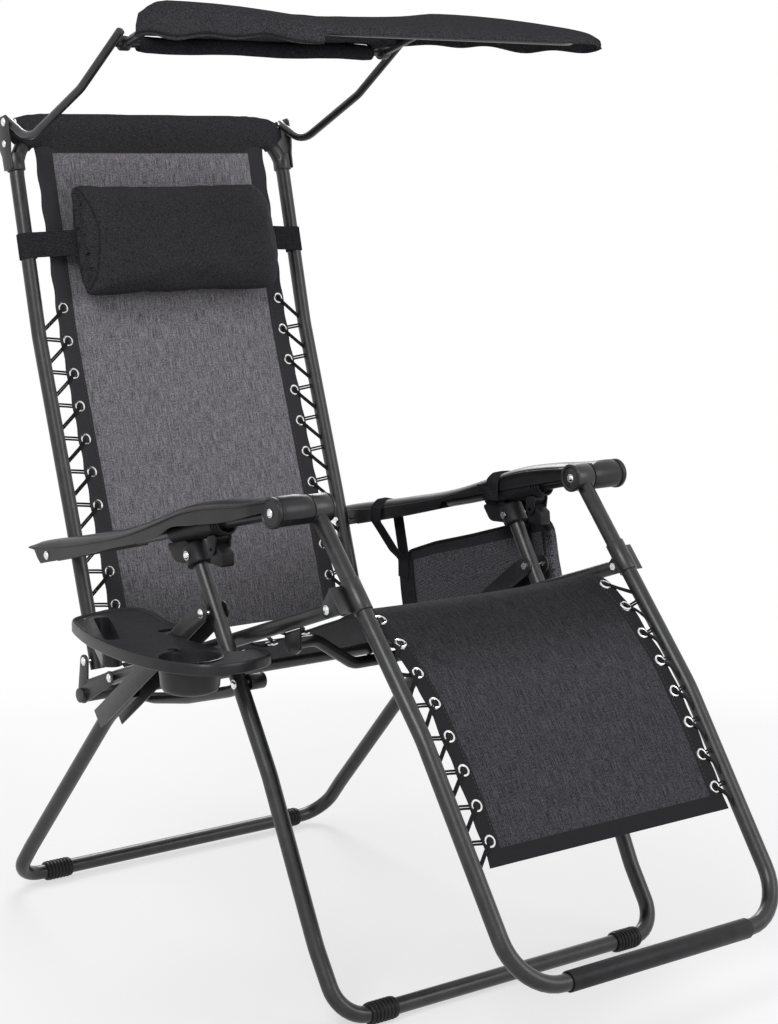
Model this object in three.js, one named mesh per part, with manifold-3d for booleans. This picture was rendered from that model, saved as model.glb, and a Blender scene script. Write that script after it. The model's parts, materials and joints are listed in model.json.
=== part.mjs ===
// A folding recliner with a canopy, drawn as separate pieces in millimetres.
// x points to the sitter's left, y to the rear and z up; the floor is z = 0.
// It is drawn about its plane of symmetry and then moved to stand centred on the origin.
// Every piece of the sitter's right side is drawn once and mirrored to the left.
import * as THREE from 'three';
import { mergeVertices } from 'three/addons/utils/BufferGeometryUtils.js';
import Module from 'manifold-3d';

const wasm = await Module();
wasm.setup();

// Tube radii and shared small sizes
const frameTube = 11;
const railTube = 10;
const linkTube = 8;
const canopyTube = 6.3;
const boltShank = 3;
const boltHead = 5.5;
const boltHeadThick = 3;
const boltClearance = 0.5;
const seatGap = 0.3;
const runningGap = 0.6;
const foldedWall = 2;
const plateThick = 3;
const cutOverrun = 4;
const tubeSides = 12;
const thinSides = 10;
const boltSides = 6;
const bendSteps = 5;

// Side planes: how far each tube's centre lies from the middle
const backTubeX = 246.8;
const railX = 254.6;
const legrestX = 235.3;
const frontLegX = 285.5;
const rearLegX = 296;
const seatArmX = 258;
const canopyArmX = 251.5;

// Side view places as [y, z]
const seatRear = [124, 363];
const backFoot = [192, 376];
const rearTubeAt = [197, 325];
const knee = [-384, 538.4];
const armRear = [238, 530];
const armFront = [-319.5, 658];
const clampPivot = [-126, 578];
const armOnLeg = [-222, 418];
const rearLegPivot = [-166, 506];
const canopyPivot = [400, 1155];
const canopyBarAt = [117, 1261];

// Base frames
const footRadius = 15.2;
const footLength = 44;
const footCentreX = 221;
const footWall = 0.5;
const frontLegRoute = [[-119.6, 588], [-285, 306], [-383, 99], [-435, footRadius]];
const rearLegRoute = [[20, 367.4], [85, 319], [306, 75], [356, footRadius]];
const legBend = 46;
const easyBend = 160;
const channelLength = 322;
const channelDepth = 13;
const channelWebStart = 22;

// Seat frame
const railPastSeatPivot = 13;
const railPastKnee = 9;
const rearTubePastPlate = 5;
const hingeEar = 13;
const frontBarAt = [-290, 478];
const frontBarDrop = 40;
const frontBarStraight = 38;
const frontBarSlope = 62;
const frontBarBend = 30;
const hangerWidth = 32;
const hangerBelow = 13;
const seatArmRoute = [[-159, 392], [-59, 365], [25, 350], [85, 348]];
const lugRadius = 11;

// Back frame
const backRoute = [[252, 577], [334.5, 840], [405, 1148]];
const backFootPast = 14;
const backCorner = 74;
const topBracketLow = 1042;
const topBracketSleeve = 32;
const sleevePlay = 0.9;
const topBracketHalf = 13;
const topBracketPast = 9;

// Legrest frame
const legrestRoute = [[-536, 395], [-717, 118]];
const legrestCorner = 70;
const legrestBend = 220;
const footSleeveFromBend = 6.3;
const footSleeveWall = 2.5;
const kneeBracketHalf = 16;
const kneeBracketBack = 11;
const bossRadius = 19;
const bossInner = 217;
const bossSplit = 248.2;
const bossOuter = 308;
const bossAxle = 8;
const bossPlay = 5;
const bossFace = 5;

// Armrests and their clamps
const armInner = 265;
const armOuter = 320;
const armTopRoute = [
  [283, 545], [178, 560], [99, 574], [20, 594], [-50, 618], [-110, 637], [-170, 651], [-255, 663],
];
const armPlanRoute = [[290, 300], [200, 300], [99, 310], [5, 316], [-71, 320], [-340, 320]];
const armRearLow = 261;
const armWallBelow = 10;
const armWallAbove = 2;
const armChannelWide = 36;
const padAboveTube = 9.6;
const armTubeRear = 18;
const clampBore = 12.9;
const clampWall = 3.6;
const clampRear = 50;
const clampFront = 54;
const clampOpenAbove = 4;
const clampCheek = 12;
const clampCheekThick = 20;
const barrelBore = 15.6;
const barrelWall = 2.6;
const barrelBelow = 30;
const barrelAbove = 15;
const leverAt = [-176, 592];
const leverThick = 20;
const leverPin = 8;
const leverEar = 3;

// Fabric
const clothThick = 3;
const slingHalf = 212;
const eyeletX = 200;
const eyeletHole = 2.8;
const cordRadius = 1.7;
const cordSides = 6;
const cordStand = 5;
const wrapSteps = 4;
const backClothRoute = [[196.6, 393], [252, 577], [334.5, 840], [399, 1122]];
const seatClothRoute = [[183, 366], [140, 350], [80, 365], [-150, 444], [-340, 513], [-371, 530]];
const legClothRoute = [[-396, 527], [-448, 496], [-516, 429.5], [-570, 355], [-618, 278], [-634, 250]];
const hemOver = 3.6;
const backEyelets = { count: 10, first: 57.4, pitch: 50.2 };
const seatEyelets = { count: 5, first: 150, pitch: 76 };
const legEyelets = { count: 8, first: 14, pitch: 46.4 };

// Pillow
const pillowAt = [364.7, 972];
const pillowHalf = [188, 91, 30];
const pillowLift = 36;
const pillowDrawnInShare = 0.05;
const pillowGrid = { across: 16, up: 10 };
const strapHeight = 28;
const strapThick = 3;
const strapPlay = 0.6;

// Canopy
const coverHalf = 266;
const coverCloth = 2.5;
const coverTopRoute = [
  [70, 1290], [45, 1304], [-20, 1311], [-130, 1300], [-260, 1282], [-328, 1269], [-345, 1257],
];
const coverHemRoute = [[-340, 1247], [-160, 1258], [0, 1275], [68, 1283]];
const canopyArmRoute = [[404, 1157.5], [345, 1128], [200, 1200], [95, 1276]];
const canopyArmBend = 60;
const canopyFrameX = 232;
const canopyFrameRoute = [[40, 1283], [-20, 1301.8], [-322, 1260.9]];
const canopyFrameCorner = 50;
const canopyEye = 11;

// Cup tray
const trayTop = 468;
const trayThick = 4;
const trayLip = 13;
const trayLipWall = 3;
const trayOuter = 428;
const trayWide = 182;
const trayFront = -312;
const trayLong = 406;
const traySteps = 3;
const trayOutlineShares = [
  [0.36, 0.935], [0.6, 0.98], [0.84, 1], [0.985, 0.955], [0.99, 0.87], [0.87, 0.68], [0.84, 0.5],
  [0.84, 0.25], [0.79, 0.06], [0.6, 0.01], [0.4, 0], [0.2, 0.025], [0.05, 0.14], [0, 0.32],
  [0.07, 0.59], [0.18, 0.77],
];
const notchPlay = 3;
const notchPastChannel = 49;
const notchPastLeg = 56;
const cupShares = [0.286, 0.185];
const cupRadius = 39;
const cupWall = 2.5;
const cupDepth = 56;
const slotShares = [0.39, 0.744];
const slotLength = 160;
const slotWidth = 22;
const slotAngleDegrees = 63;
const trayFootFromNotch = 28;
const trayFootLength = 50;

// Side bag on the left armrest
const bagGap = 3;
const bagDeep = 28;
const bagRear = 22;
const bagLong = 371;
const bagTop = 58;
const bagHigh = 190;
const bagCorner = 30;
const bagWall = 3.5;
const bagLoops = [171, -57];
const bagLoopWide = 25;
const bagLoopThick = 2;
const bagLoopGap = 1;

// Colours: powder-coated steel, moulded plastic, cloth, bright bolts and black cord
const paint = new THREE.MeshStandardMaterial({ color: 0x3f4245, roughness: 0.42, metalness: 0.6 });
const plastic = new THREE.MeshStandardMaterial({ color: 0x2c2f33, roughness: 0.6, metalness: 0 });
const mesh = new THREE.MeshStandardMaterial({ color: 0x6c6b70, roughness: 0.9, metalness: 0 });
const cloth = new THREE.MeshStandardMaterial({ color: 0x35353a, roughness: 0.95, metalness: 0 });
const steel = new THREE.MeshStandardMaterial({ color: 0xb9bbbd, roughness: 0.3, metalness: 0.9 });
const cord = new THREE.MeshStandardMaterial({ color: 0x1b1b1d, roughness: 0.8, metalness: 0 });

// Plane helpers on [y, z] pairs
const plus = (a, b, scale = 1) => [a[0] + b[0] * scale, a[1] + b[1] * scale];
const minus = (a, b) => [a[0] - b[0], a[1] - b[1]];
const size2 = (a) => Math.hypot(a[0], a[1]);
const unit = (a) => [a[0] / size2(a), a[1] / size2(a)];
const across = (a) => [-a[1], a[0]];

// A point at a distance along a side view route, with its direction
function along(route, distance) {
  let left = distance;
  for (let i = 1; i < route.length; i += 1) {
    const step = minus(route[i], route[i - 1]);
    if (left <= size2(step) || i === route.length - 1) {
      return { at: plus(route[i - 1], unit(step), left), way: unit(step) };
    }
    left -= size2(step);
  }
  return null;
}

// The height of a side view route at a depth y
function heightAt(route, y) {
  const i = route.findIndex((p, k) => k > 0 && (p[0] <= y || k === route.length - 1));
  const [a, b] = [route[i - 1], route[i]];
  return a[1] + ((y - a[0]) * (b[1] - a[1])) / (b[0] - a[0]);
}

// The nearest point of a side view route to a point
function nearest(route, p) {
  let best = null;
  for (let i = 1; i < route.length; i += 1) {
    const step = minus(route[i], route[i - 1]);
    const rel = minus(p, route[i - 1]);
    const t = Math.min(1, Math.max(0, (rel[0] * step[0] + rel[1] * step[1]) / size2(step) ** 2));
    const at = plus(route[i - 1], step, t);
    const gap = size2(minus(p, at));
    if (!best || gap < best.gap) best = { at, gap, way: unit(step) };
  }
  return best;
}

// Solids: three.js shapes in, three.js shapes out, with the cutting between
function toSolid(geometry) {
  const bare = geometry.clone();
  bare.deleteAttribute('normal');
  bare.deleteAttribute('uv');
  const merged = mergeVertices(bare, 1e-4);
  const body = new wasm.Mesh({
    numProp: 3,
    vertProperties: new Float32Array(merged.attributes.position.array),
    triVerts: new Uint32Array(merged.index.array),
  });
  return new wasm.Manifold(body);
}

function toGeometry(solid) {
  const body = solid.getMesh();
  const geometry = new THREE.BufferGeometry();
  geometry.setAttribute('position', new THREE.BufferAttribute(body.vertProperties, 3));
  geometry.setIndex(new THREE.BufferAttribute(body.triVerts, 1));
  return geometry;
}

const join = (...shapes) => toGeometry(shapes.map(toSolid).reduce((a, b) => a.add(b)));
const keep = (shape, tool) => toGeometry(toSolid(shape).intersect(toSolid(tool)));
const cut = (shape, ...tools) => toGeometry(
  tools.map(toSolid).reduce((a, b) => a.subtract(b), toSolid(shape)),
);

function mirrored(geometry) {
  const copy = geometry.clone().applyMatrix4(new THREE.Matrix4().makeScale(-1, 1, 1));
  if (!copy.index) {
    copy.deleteAttribute('normal');
    copy.deleteAttribute('uv');
  }
  const whole = copy.index ? copy : mergeVertices(copy, 1e-4);
  const order = whole.index.array;
  for (let i = 0; i < order.length; i += 3) {
    [order[i], order[i + 1]] = [order[i + 1], order[i]];
  }
  return whole;
}

// A tube's centre line that has a ring only where it starts, ends or turns
class RingCurve extends THREE.Curve {
  constructor(rings) {
    super();
    this.rings = rings;
  }

  getPointAt(u) {
    return this.rings[Math.round(u * (this.rings.length - 1))].at.clone();
  }

  getTangentAt(u) {
    return this.rings[Math.round(u * (this.rings.length - 1))].way.clone();
  }
}

function circle(radius, sides) {
  const shape = new THREE.Shape();
  for (let i = 0; i < sides; i += 1) {
    const turn = ((i + 0.5) / sides) * Math.PI * 2;
    const put = i ? 'lineTo' : 'moveTo';
    shape[put](radius * Math.cos(turn), radius * Math.sin(turn));
  }
  return shape;
}

// Rings along straight runs joined by round bends
function bentRings(points, bends) {
  const rings = [];
  points.forEach((p, i) => {
    const into = i ? p.clone().sub(points[i - 1]).normalize() : null;
    const out = i < points.length - 1 ? points[i + 1].clone().sub(p).normalize() : null;
    if (!into || !out) {
      rings.push({ at: p.clone(), way: (out ?? into).clone() });
      return;
    }
    const turn = into.angleTo(out);
    const radius = Array.isArray(bends) ? bends[i - 1] : bends;
    const reach = radius * Math.tan(turn / 2);
    const axis = into.clone().cross(out).normalize();
    const start = p.clone().addScaledVector(into, -reach);
    const inward = axis.clone().cross(into).normalize();
    const centre = start.clone().addScaledVector(inward, radius);
    const steps = Math.max(1, Math.round((turn / (Math.PI / 2)) * bendSteps));
    for (let k = 0; k <= steps; k += 1) {
      const angle = (turn * k) / steps;
      const arm = start.clone().sub(centre).applyAxisAngle(axis, angle);
      rings.push({ at: centre.clone().add(arm), way: into.clone().applyAxisAngle(axis, angle) });
    }
  });
  return rings;
}

function sweep(rings, radius, sides) {
  return new THREE.ExtrudeGeometry(circle(radius, sides), {
    steps: rings.length - 1,
    extrudePath: new RingCurve(rings),
    bevelEnabled: false,
  });
}

const bentTube = (points, bends, radius, sides) => sweep(bentRings(points, bends), radius, sides);
const sidePoints = (route, x) => route.map((p) => new THREE.Vector3(x, p[0], p[1]));

// A frame that runs down the right side, across and up the left side
function loopTube(route, x, bends, corner, radius) {
  const right = sidePoints(route, -x);
  const left = sidePoints(route, x).reverse();
  const inner = new Array(route.length - 2).fill(bends);
  const radii = [...inner, corner, corner, ...inner];
  return bentTube([...right, ...left], radii, radius, tubeSides);
}

// A side view outline made solid between two x planes
function slab(outline, from, to, holes = []) {
  const shape = new THREE.Shape(outline.map((p) => new THREE.Vector2(p[0], p[1])));
  shape.holes = holes;
  const low = Math.min(from, to);
  const solid = new THREE.ExtrudeGeometry(shape, {
    depth: Math.abs(to - from), bevelEnabled: false, steps: 1, curveSegments: bendSteps,
  });
  const turn = new THREE.Matrix4().makeBasis(
    new THREE.Vector3(0, 1, 0), new THREE.Vector3(0, 0, 1), new THREE.Vector3(1, 0, 0),
  );
  return solid.applyMatrix4(turn).translate(low, 0, 0);
}

// A round bar across the chair
function crossBar(at, radius, from, to, sides = tubeSides) {
  return slab(ringPoints(at, radius, sides), from, to);
}

function ringPoints(at, radius, sides) {
  return Array.from({ length: sides }, (_, i) => {
    const turn = ((i + 0.5) / sides) * Math.PI * 2;
    return [at[0] + radius * Math.cos(turn), at[1] + radius * Math.sin(turn)];
  });
}

// A round bar between two side view points in one x plane
function sideBar(x, a, b, radius, sides = tubeSides) {
  return bentTube(sidePoints([a, b], x), 0, radius, sides);
}

// Upright solids: an outline seen from above, a round one and a block
const raised = (shape, low, high) => new THREE.ExtrudeGeometry(shape, {
  depth: high - low, bevelEnabled: false, curveSegments: bendSteps,
}).translate(0, 0, low);

function upright(at, radius, low, high) {
  const solid = new THREE.CylinderGeometry(radius, radius, high - low, tubeSides * 2);
  return solid.rotateX(Math.PI / 2).translate(at[0], at[1], (low + high) / 2);
}

function block(x0, x1, y0, y1, z0, z1) {
  const solid = new THREE.BoxGeometry(x1 - x0, y1 - y0, z1 - z0);
  return solid.translate((x0 + x1) / 2, (y0 + y1) / 2, (z0 + z1) / 2);
}

// The convex outline round several discs, for links and ears
function roundedLink(discs, sides = tubeSides) {
  const all = discs.flatMap(([at, radius]) => ringPoints(at, radius, sides));
  all.sort((a, b) => a[0] - b[0] || a[1] - b[1]);
  const half = (list) => list.reduce((hull, p) => {
    while (hull.length > 1) {
      const [a, b] = [minus(hull[hull.length - 1], hull[hull.length - 2]), minus(p, hull[hull.length - 1])];
      if (a[0] * b[1] - a[1] * b[0] > 0) break;
      hull.pop();
    }
    hull.push(p);
    return hull;
  }, []);
  const low = half(all);
  const high = half([...all].reverse());
  return [...low.slice(0, -1), ...high.slice(0, -1)];
}

// A bolt across the chair: head outside, shank, and a nut inside
function bolt(at, outside, inside, nutThick = boltHeadThick) {
  const head = crossBar(at, boltHead, outside - boltHeadThick, outside, boltSides);
  const shank = crossBar(at, boltShank, outside - seatGap, inside + seatGap, boltSides);
  const nut = crossBar(at, boltHead, inside, inside + nutThick, boltSides);
  return join(head, shank, nut);
}

const boltHole = (at, from, to) => crossBar(
  at, boltShank + boltClearance, Math.min(from, to) - cutOverrun, Math.max(from, to) + cutOverrun, boltSides,
);

const part = new THREE.Group();
function add(name, geometry, material) {
  const piece = new THREE.Mesh(geometry, material);
  piece.name = name;
  part.add(piece);
}

function addPair(name, geometry, material) {
  add(`${name}_right`, geometry, material);
  add(`${name}_left`, mirrored(geometry), material);
}

// Front legs with their floor bar, feet and bolts
const frontFace = frontLegX + frameTube;
const throughLeg = (at) => [-1, 1].map((side) => boltHole(
  at, side * (frontLegX - frameTube), side * (frontLegX + frameTube),
));
const frontLegs = loopTube(frontLegRoute, frontLegX, easyBend, legBend, frameTube);
add('front_leg_frame', cut(
  frontLegs, ...throughLeg(rearLegPivot), ...throughLeg(armOnLeg), ...throughLeg(clampPivot),
), paint);

function foot(at) {
  const outer = footRadius / Math.cos(Math.PI / tubeSides);
  const inner = (frameTube + footWall) / Math.cos(Math.PI / tubeSides);
  const from = -footCentreX - footLength / 2;
  const to = -footCentreX + footLength / 2;
  const bore = crossBar(at, inner, from - cutOverrun, to + cutOverrun);
  return cut(crossBar(at, outer, from, to), bore);
}
addPair('front_foot', foot(frontLegRoute[frontLegRoute.length - 1]), plastic);

// Rear legs: a bent tube whose top sits in a folded channel that straddles the front leg
add('rear_leg_frame', loopTube(rearLegRoute, rearLegX, easyBend, legBend, frameTube), paint);
addPair('rear_foot', foot(rearLegRoute[rearLegRoute.length - 1]), plastic);

const channelWay = unit(minus(rearLegRoute[1], rearLegPivot));
const channelUp = across(channelWay).map((v) => -v);
const channelInner = frontLegX - frameTube - seatGap;
const channelOuter = rearLegX + frameTube + seatGap;
function channelPoint(distance, height) {
  return plus(plus(rearLegPivot, channelWay, distance), channelUp, -height);
}
function channel() {
  const webFace = channelDepth + foldedWall;
  const roundEnd = roundedLink([
    [rearLegPivot, channelDepth], [channelPoint(channelWebStart, 0), channelDepth],
  ]);
  const straight = [
    channelPoint(0, -channelDepth), channelPoint(channelLength, -channelDepth),
    channelPoint(channelLength, webFace), channelPoint(channelWebStart, webFace),
    channelPoint(0, channelDepth),
  ];
  const web = [
    channelPoint(channelWebStart, channelDepth), channelPoint(channelLength, channelDepth),
    channelPoint(channelLength, webFace), channelPoint(channelWebStart, webFace),
  ];
  const walls = [
    [-channelOuter - foldedWall, -channelOuter], [-channelInner, -channelInner + foldedWall],
  ];
  const cheeks = walls.flatMap(
    ([from, to]) => [roundEnd, straight].map((outline) => slab(outline, from, to)),
  );
  const bridge = slab(web, -channelOuter - foldedWall, -channelInner + foldedWall);
  return cut(join(bridge, ...cheeks), boltHole(rearLegPivot, -channelOuter, -channelInner));
}
addPair('rear_leg_channel', channel(), paint);
const pivotNut = 1.6;
addPair('leg_pivot_bolt', bolt(
  rearLegPivot, -channelOuter - foldedWall - seatGap, -channelInner + foldedWall + seatGap, pivotNut,
), steel);

// Links that carry the seat's rear pivot from the front legs
const lugIn = seatArmX - linkTube;
const lugOut = frontLegX - frameTube - runningGap;
const rearLugFrom = railX - railTube - runningGap;
function seatArm() {
  const route = sidePoints([armOnLeg, ...seatArmRoute], -seatArmX);
  const tube = bentTube(route, easyBend / 2, linkTube, thinSides);
  const front = crossBar(armOnLeg, lugRadius, -lugOut, -lugIn);
  const tail = seatArmRoute[seatArmRoute.length - 1];
  const lugFace = -rearLugFrom + plateThick;
  const boss = crossBar(tail, linkTube, -seatArmX, lugFace, thinSides);
  const lug = slab(roundedLink([[tail, linkTube], [seatRear, lugRadius]], thinSides), -rearLugFrom, lugFace);
  const holes = [boltHole(armOnLeg, -lugOut, -lugIn), boltHole(seatRear, -railX, -rearLugFrom)];
  return cut(join(tube, front, boss, lug), ...holes);
}
addPair('seat_arm', seatArm(), paint);
addPair('seat_arm_bolt', bolt(armOnLeg, -frontFace - seatGap, -lugIn + seatGap), steel);

// Seat rails between the rear pivot and the knee pivot
const railWay = unit(minus(knee, seatRear));
const railRear = plus(seatRear, railWay, -railPastSeatPivot);
const railFront = plus(knee, railWay, railPastKnee);
const hingeFrom = railX + railTube + runningGap + runningGap;
addPair('seat_rail', cut(
  sideBar(-railX, railRear, railFront, railTube), boltHole(seatRear, -railX - railTube, -railX + railTube),
  boltHole(knee, -railX - railTube, -railX + railTube),
), paint);

// Rear cross tube with the plates welded on it that carry the back
const hingeFace = hingeFrom + plateThick;
function seatRearTube() {
  const end = hingeFace + rearTubePastPlate;
  const tube = crossBar(rearTubeAt, frameTube, -end, end);
  const outline = roundedLink([[seatRear, hingeEar], [backFoot, hingeEar], [rearTubeAt, hingeEar]]);
  const plates = [-1, 1].map((side) => slab(outline, side * hingeFrom, side * hingeFace));
  const holes = [seatRear, backFoot].map((at) => boltHole(at, -hingeFace, hingeFace));
  const cutPlates = plates.map((plate) => cut(plate, ...holes));
  return join(tube, ...cutPlates);
}
add('seat_rear_tube', seatRearTube(), paint);
addPair('seat_pivot_bolt', bolt(seatRear, -hingeFace - seatGap, -rearLugFrom + plateThick + seatGap), steel);

// Dropped front bar that hangs from plates under the rails
function seatFrontBar() {
  const [y, z] = frontBarAt;
  const low = z - frontBarDrop;
  const outer = railX - linkTube / 2;
  const bendIn = outer - frontBarStraight;
  const right = [[-outer, z], [-bendIn, z], [-bendIn + frontBarSlope, low]];
  const left = right.map(([x, height]) => [-x, height]).reverse();
  const points = [...right, ...left].map(([x, height]) => new THREE.Vector3(x, y, height));
  const tube = bentTube(points, frontBarBend, linkTube, thinSides);
  const slope = railWay[1] / railWay[0];
  const top = (dy) => {
    const railZ = seatRear[1] + slope * (y + dy - seatRear[0]);
    return [y + dy, railZ - (railTube + seatGap) / Math.abs(railWay[0])];
  };
  const edge = hangerWidth / 2;
  const plate = [
    top(-edge), [y - edge, z - hangerBelow / 2], [y - edge / 2, z - hangerBelow],
    [y + edge / 2, z - hangerBelow], [y + edge, z - hangerBelow / 2], top(edge),
  ];
  const plates = [-1, 1].map(
    (side) => slab(plate, side * (outer - plateThick), side * (outer + plateThick / 2)),
  );
  return join(tube, ...plates);
}
add('seat_front_bar', seatFrontBar(), paint);

// Back frame: an upside-down U with its lower ends on the hinge plates
const backWay = unit(minus(backRoute[0], backFoot));
const backStart = plus(backFoot, backWay, -backFootPast);
const backLine = [backStart, ...backRoute];
const backHoles = [backFoot, armRear].flatMap((at) => [-1, 1].map((side) => boltHole(
  at, side * (backTubeX - frameTube), side * (backTubeX + frameTube),
)));
add('back_frame', cut(loopTube(backLine, backTubeX, easyBend, backCorner, frameTube), ...backHoles), paint);
addPair('back_pivot_bolt', bolt(backFoot, -hingeFace - seatGap, -backTubeX + frameTube + seatGap), steel);

// Folded brackets at the top of the back frame, with the canopy's pivots
const upper = unit(minus(backRoute[2], backRoute[1]));
const upperAt = (z) => plus(backRoute[2], upper, (z - backRoute[2][1]) / upper[1]);
const bracketFrom = canopyArmX + canopyTube + seatGap;
function topBracket() {
  const low = upperAt(topBracketLow);
  const sleeveTop = plus(low, upper, topBracketSleeve);
  const high = plus(upperAt(canopyPivot[1]), upper, topBracketPast);
  const side = across(upper);
  const bore = frameTube + sleevePlay;
  const [past, before] = [plus(sleeveTop, upper, cutOverrun), plus(low, upper, -cutOverrun)];
  const sleeve = cut(
    sideBar(-backTubeX, low, sleeveTop, bore + foldedWall), sideBar(-backTubeX, before, past, bore),
  );
  const outline = [
    plus(low, side, -frameTube), plus(sleeveTop, side, -frameTube), plus(high, side, -topBracketHalf),
    plus(high, side, topBracketHalf), plus(sleeveTop, side, frameTube), plus(low, side, frameTube),
  ];
  const plate = slab(outline, -bracketFrom - plateThick, -bracketFrom);
  return cut(join(sleeve, plate), boltHole(canopyPivot, -bracketFrom - plateThick, -bracketFrom));
}
addPair('canopy_bracket', topBracket(), paint);

// Legrest frame: a long U with the knee brackets and the armrest knuckles welded on
const legWay = unit(minus(legrestRoute[0], armFront));
const kneeFoot = nearest([armFront, legrestRoute[0]], knee);
const kneeReach = unit(minus(kneeFoot.at, knee));
const kneeOut = railX + railTube + runningGap;
const kneeIn = railX - railTube - runningGap;
const kneePoint = (reach, drop) => plus(plus(knee, kneeReach, reach), legWay, drop);
function kneeBracket() {
  const webAt = kneeFoot.gap - frameTube;
  const box = (from, to) => [kneePoint(from, -kneeBracketHalf), kneePoint(to, -kneeBracketHalf),
    kneePoint(to, kneeBracketHalf), kneePoint(from, kneeBracketHalf)];
  const deep = kneeFoot.gap - frameTube / 2;
  const innerCheek = slab(box(-kneeBracketBack, deep), -kneeIn, -kneeIn + plateThick);
  const outerCheek = slab(box(-kneeBracketBack, webAt + foldedWall / 2), -kneeOut - plateThick, -kneeOut);
  const web = slab(
    box(webAt - foldedWall / 2, webAt + foldedWall / 2), -kneeOut - plateThick, -kneeIn + plateThick,
  );
  return cut(join(innerCheek, outerCheek, web), boltHole(knee, -kneeOut - plateThick, -kneeIn + plateThick));
}
function legFrame() {
  const tube = loopTube([armFront, ...legrestRoute], legrestX, legrestBend, legrestCorner, frameTube);
  const bracket = kneeBracket();
  const knuckle = crossBar(armFront, bossRadius, -bossSplit + runningGap, -bossInner);
  const axleEnd = bossOuter - bossFace - bossPlay;
  const axle = crossBar(armFront, bossAxle, -axleEnd, -bossInner - bossPlay, thinSides);
  const side = join(bracket, knuckle, axle);
  return join(tube, side, mirrored(side));
}
add('leg_frame', legFrame(), paint);
addPair('knee_bolt', bolt(knee, -kneeOut - plateThick - seatGap, -kneeIn + plateThick + seatGap), steel);

const footBar = legrestRoute[legrestRoute.length - 1];
const footSleeveHalf = legrestX - legrestCorner - footSleeveFromBend;
add('foot_sleeve', cut(
  crossBar(footBar, frameTube + footSleeveWall, -footSleeveHalf, footSleeveHalf),
  crossBar(footBar, frameTube + runningGap, -footSleeveHalf - cutOverrun, footSleeveHalf + cutOverrun),
), plastic);

// Armrests: a moulded wave with a barrel at its front, and the steel tube under it
const armWay = unit(minus(armFront, armRear));
const armDown = across(armWay);
const armLine = (y) => armRear[1] + ((y - armRear[0]) * armWay[1]) / armWay[0];
const onArm = (y, above) => [y, armLine(y) + above];
const armTubeEnd = plus(armFront, armWay, -bossRadius - seatGap);
const armTubeStart = onArm(armTubeRear, 0);
function armPad() {
  const frontTop = [armFront[0], armFront[1] + bossRadius];
  const outline = [
    ...armTopRoute, frontTop, onArm(armFront[0], armWallAbove), onArm(armTubeRear, armWallAbove),
    onArm(armTubeRear, -armWallBelow), onArm(armRearLow, -armWallBelow),
  ];
  const plan = [...armPlanRoute, [armFront[0], 0], [armRear[0] + bossRadius * 3, 0]];
  const footprint = new THREE.Shape(plan.map(([y, x]) => new THREE.Vector2(-x, y)));
  const pad = keep(slab(outline, -armOuter, -armInner), raised(footprint, 0, armFront[1] * 2));
  const channelFront = armFront[0] - bossRadius;
  const hollow = slab([
    onArm(armTubeRear, padAboveTube), onArm(channelFront, padAboveTube),
    onArm(channelFront, -bossRadius * 2), onArm(armTubeRear, -bossRadius * 2),
  ], -frontLegX - armChannelWide / 2, -frontLegX + armChannelWide / 2);
  const boss = crossBar(armFront, bossRadius, -bossOuter, -bossSplit - runningGap);
  const bore = crossBar(armFront, bossAxle + bossPlay, -bossOuter + bossFace, -bossInner, thinSides);
  const socketRear = plus(armTubeStart, armWay, -seatGap);
  const socket = sideBar(-frontLegX, socketRear, armTubeEnd, linkTube + runningGap, thinSides);
  return cut(join(cut(pad, hollow), boss), bore, socket, boltHole(armRear, -armOuter, -armInner));
}
addPair('armrest', armPad(), plastic);
addPair('armrest_tube', sideBar(-frontLegX, armTubeStart, armTubeEnd, linkTube, thinSides), paint);
const armRearFace = armPlanRoute[0][1];
addPair('armrest_bolt', bolt(armRear, -armRearFace - seatGap, -backTubeX + frameTube + seatGap), steel);

// Clamp on top of each front leg: an open saddle for the armrest tube over a barrel
const legTopWay = unit(minus(frontLegRoute[0], frontLegRoute[1]));
const saddleAt = onArm(clampPivot[0], 0);
function armClamp() {
  const from = plus(saddleAt, armWay, -clampRear);
  const to = plus(saddleAt, armWay, clampFront);
  const saddle = sideBar(-frontLegX, from, to, clampBore + clampWall);
  const low = plus(clampPivot, legTopWay, -barrelBelow);
  const high = plus(clampPivot, legTopWay, barrelAbove);
  const barrel = sideBar(-frontLegX, low, high, barrelBore + barrelWall);
  const legHole = sideBar(-frontLegX, plus(low, legTopWay, -cutOverrun), high, barrelBore);
  const [before, after] = [plus(from, armWay, -cutOverrun), plus(to, armWay, cutOverrun)];
  const tubeHole = sideBar(-frontLegX, before, after, clampBore);
  const past = clampRear + clampFront;
  const byArm = (reach, down) => plus(plus(saddleAt, armWay, reach), armDown, down);
  const lid = slab([
    byArm(-past, -clampOpenAbove), byArm(past, -clampOpenAbove), byArm(past, -past), byArm(-past, -past),
  ], -frontLegX - past, -frontLegX + past);
  const cheek = slab(roundedLink([
    [clampPivot, clampCheek], [byArm(-clampRear + clampCheek, clampBore), clampWall],
    [byArm(0, clampBore), clampWall],
  ], thinSides), -frontLegX - clampCheekThick / 2, -frontLegX + clampCheekThick / 2);
  const pin = boltHole(clampPivot, -frontLegX - barrelBore, -frontLegX + barrelBore);
  const underSaddle = plus(nearest([from, to], leverAt).at, armDown, clampBore + clampWall / 2);
  const earFace = leverThick / 2 + runningGap;
  const ears = [-1, 1].map((side) => slab(
    roundedLink([[underSaddle, leverPin / 2], [leverAt, leverPin]], thinSides),
    -frontLegX + side * earFace, -frontLegX + side * (earFace + leverEar),
  ));
  const shaftEnd = earFace + leverEar;
  const leverShaft = crossBar(leverAt, boltShank, -frontLegX - shaftEnd, -frontLegX + shaftEnd, boltSides);
  return join(cut(join(saddle, barrel, cheek), legHole, tubeHole, lid, pin), ...ears, leverShaft);
}
addPair('arm_clamp', armClamp(), plastic);
const barrelFace = barrelBore + barrelWall;
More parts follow.
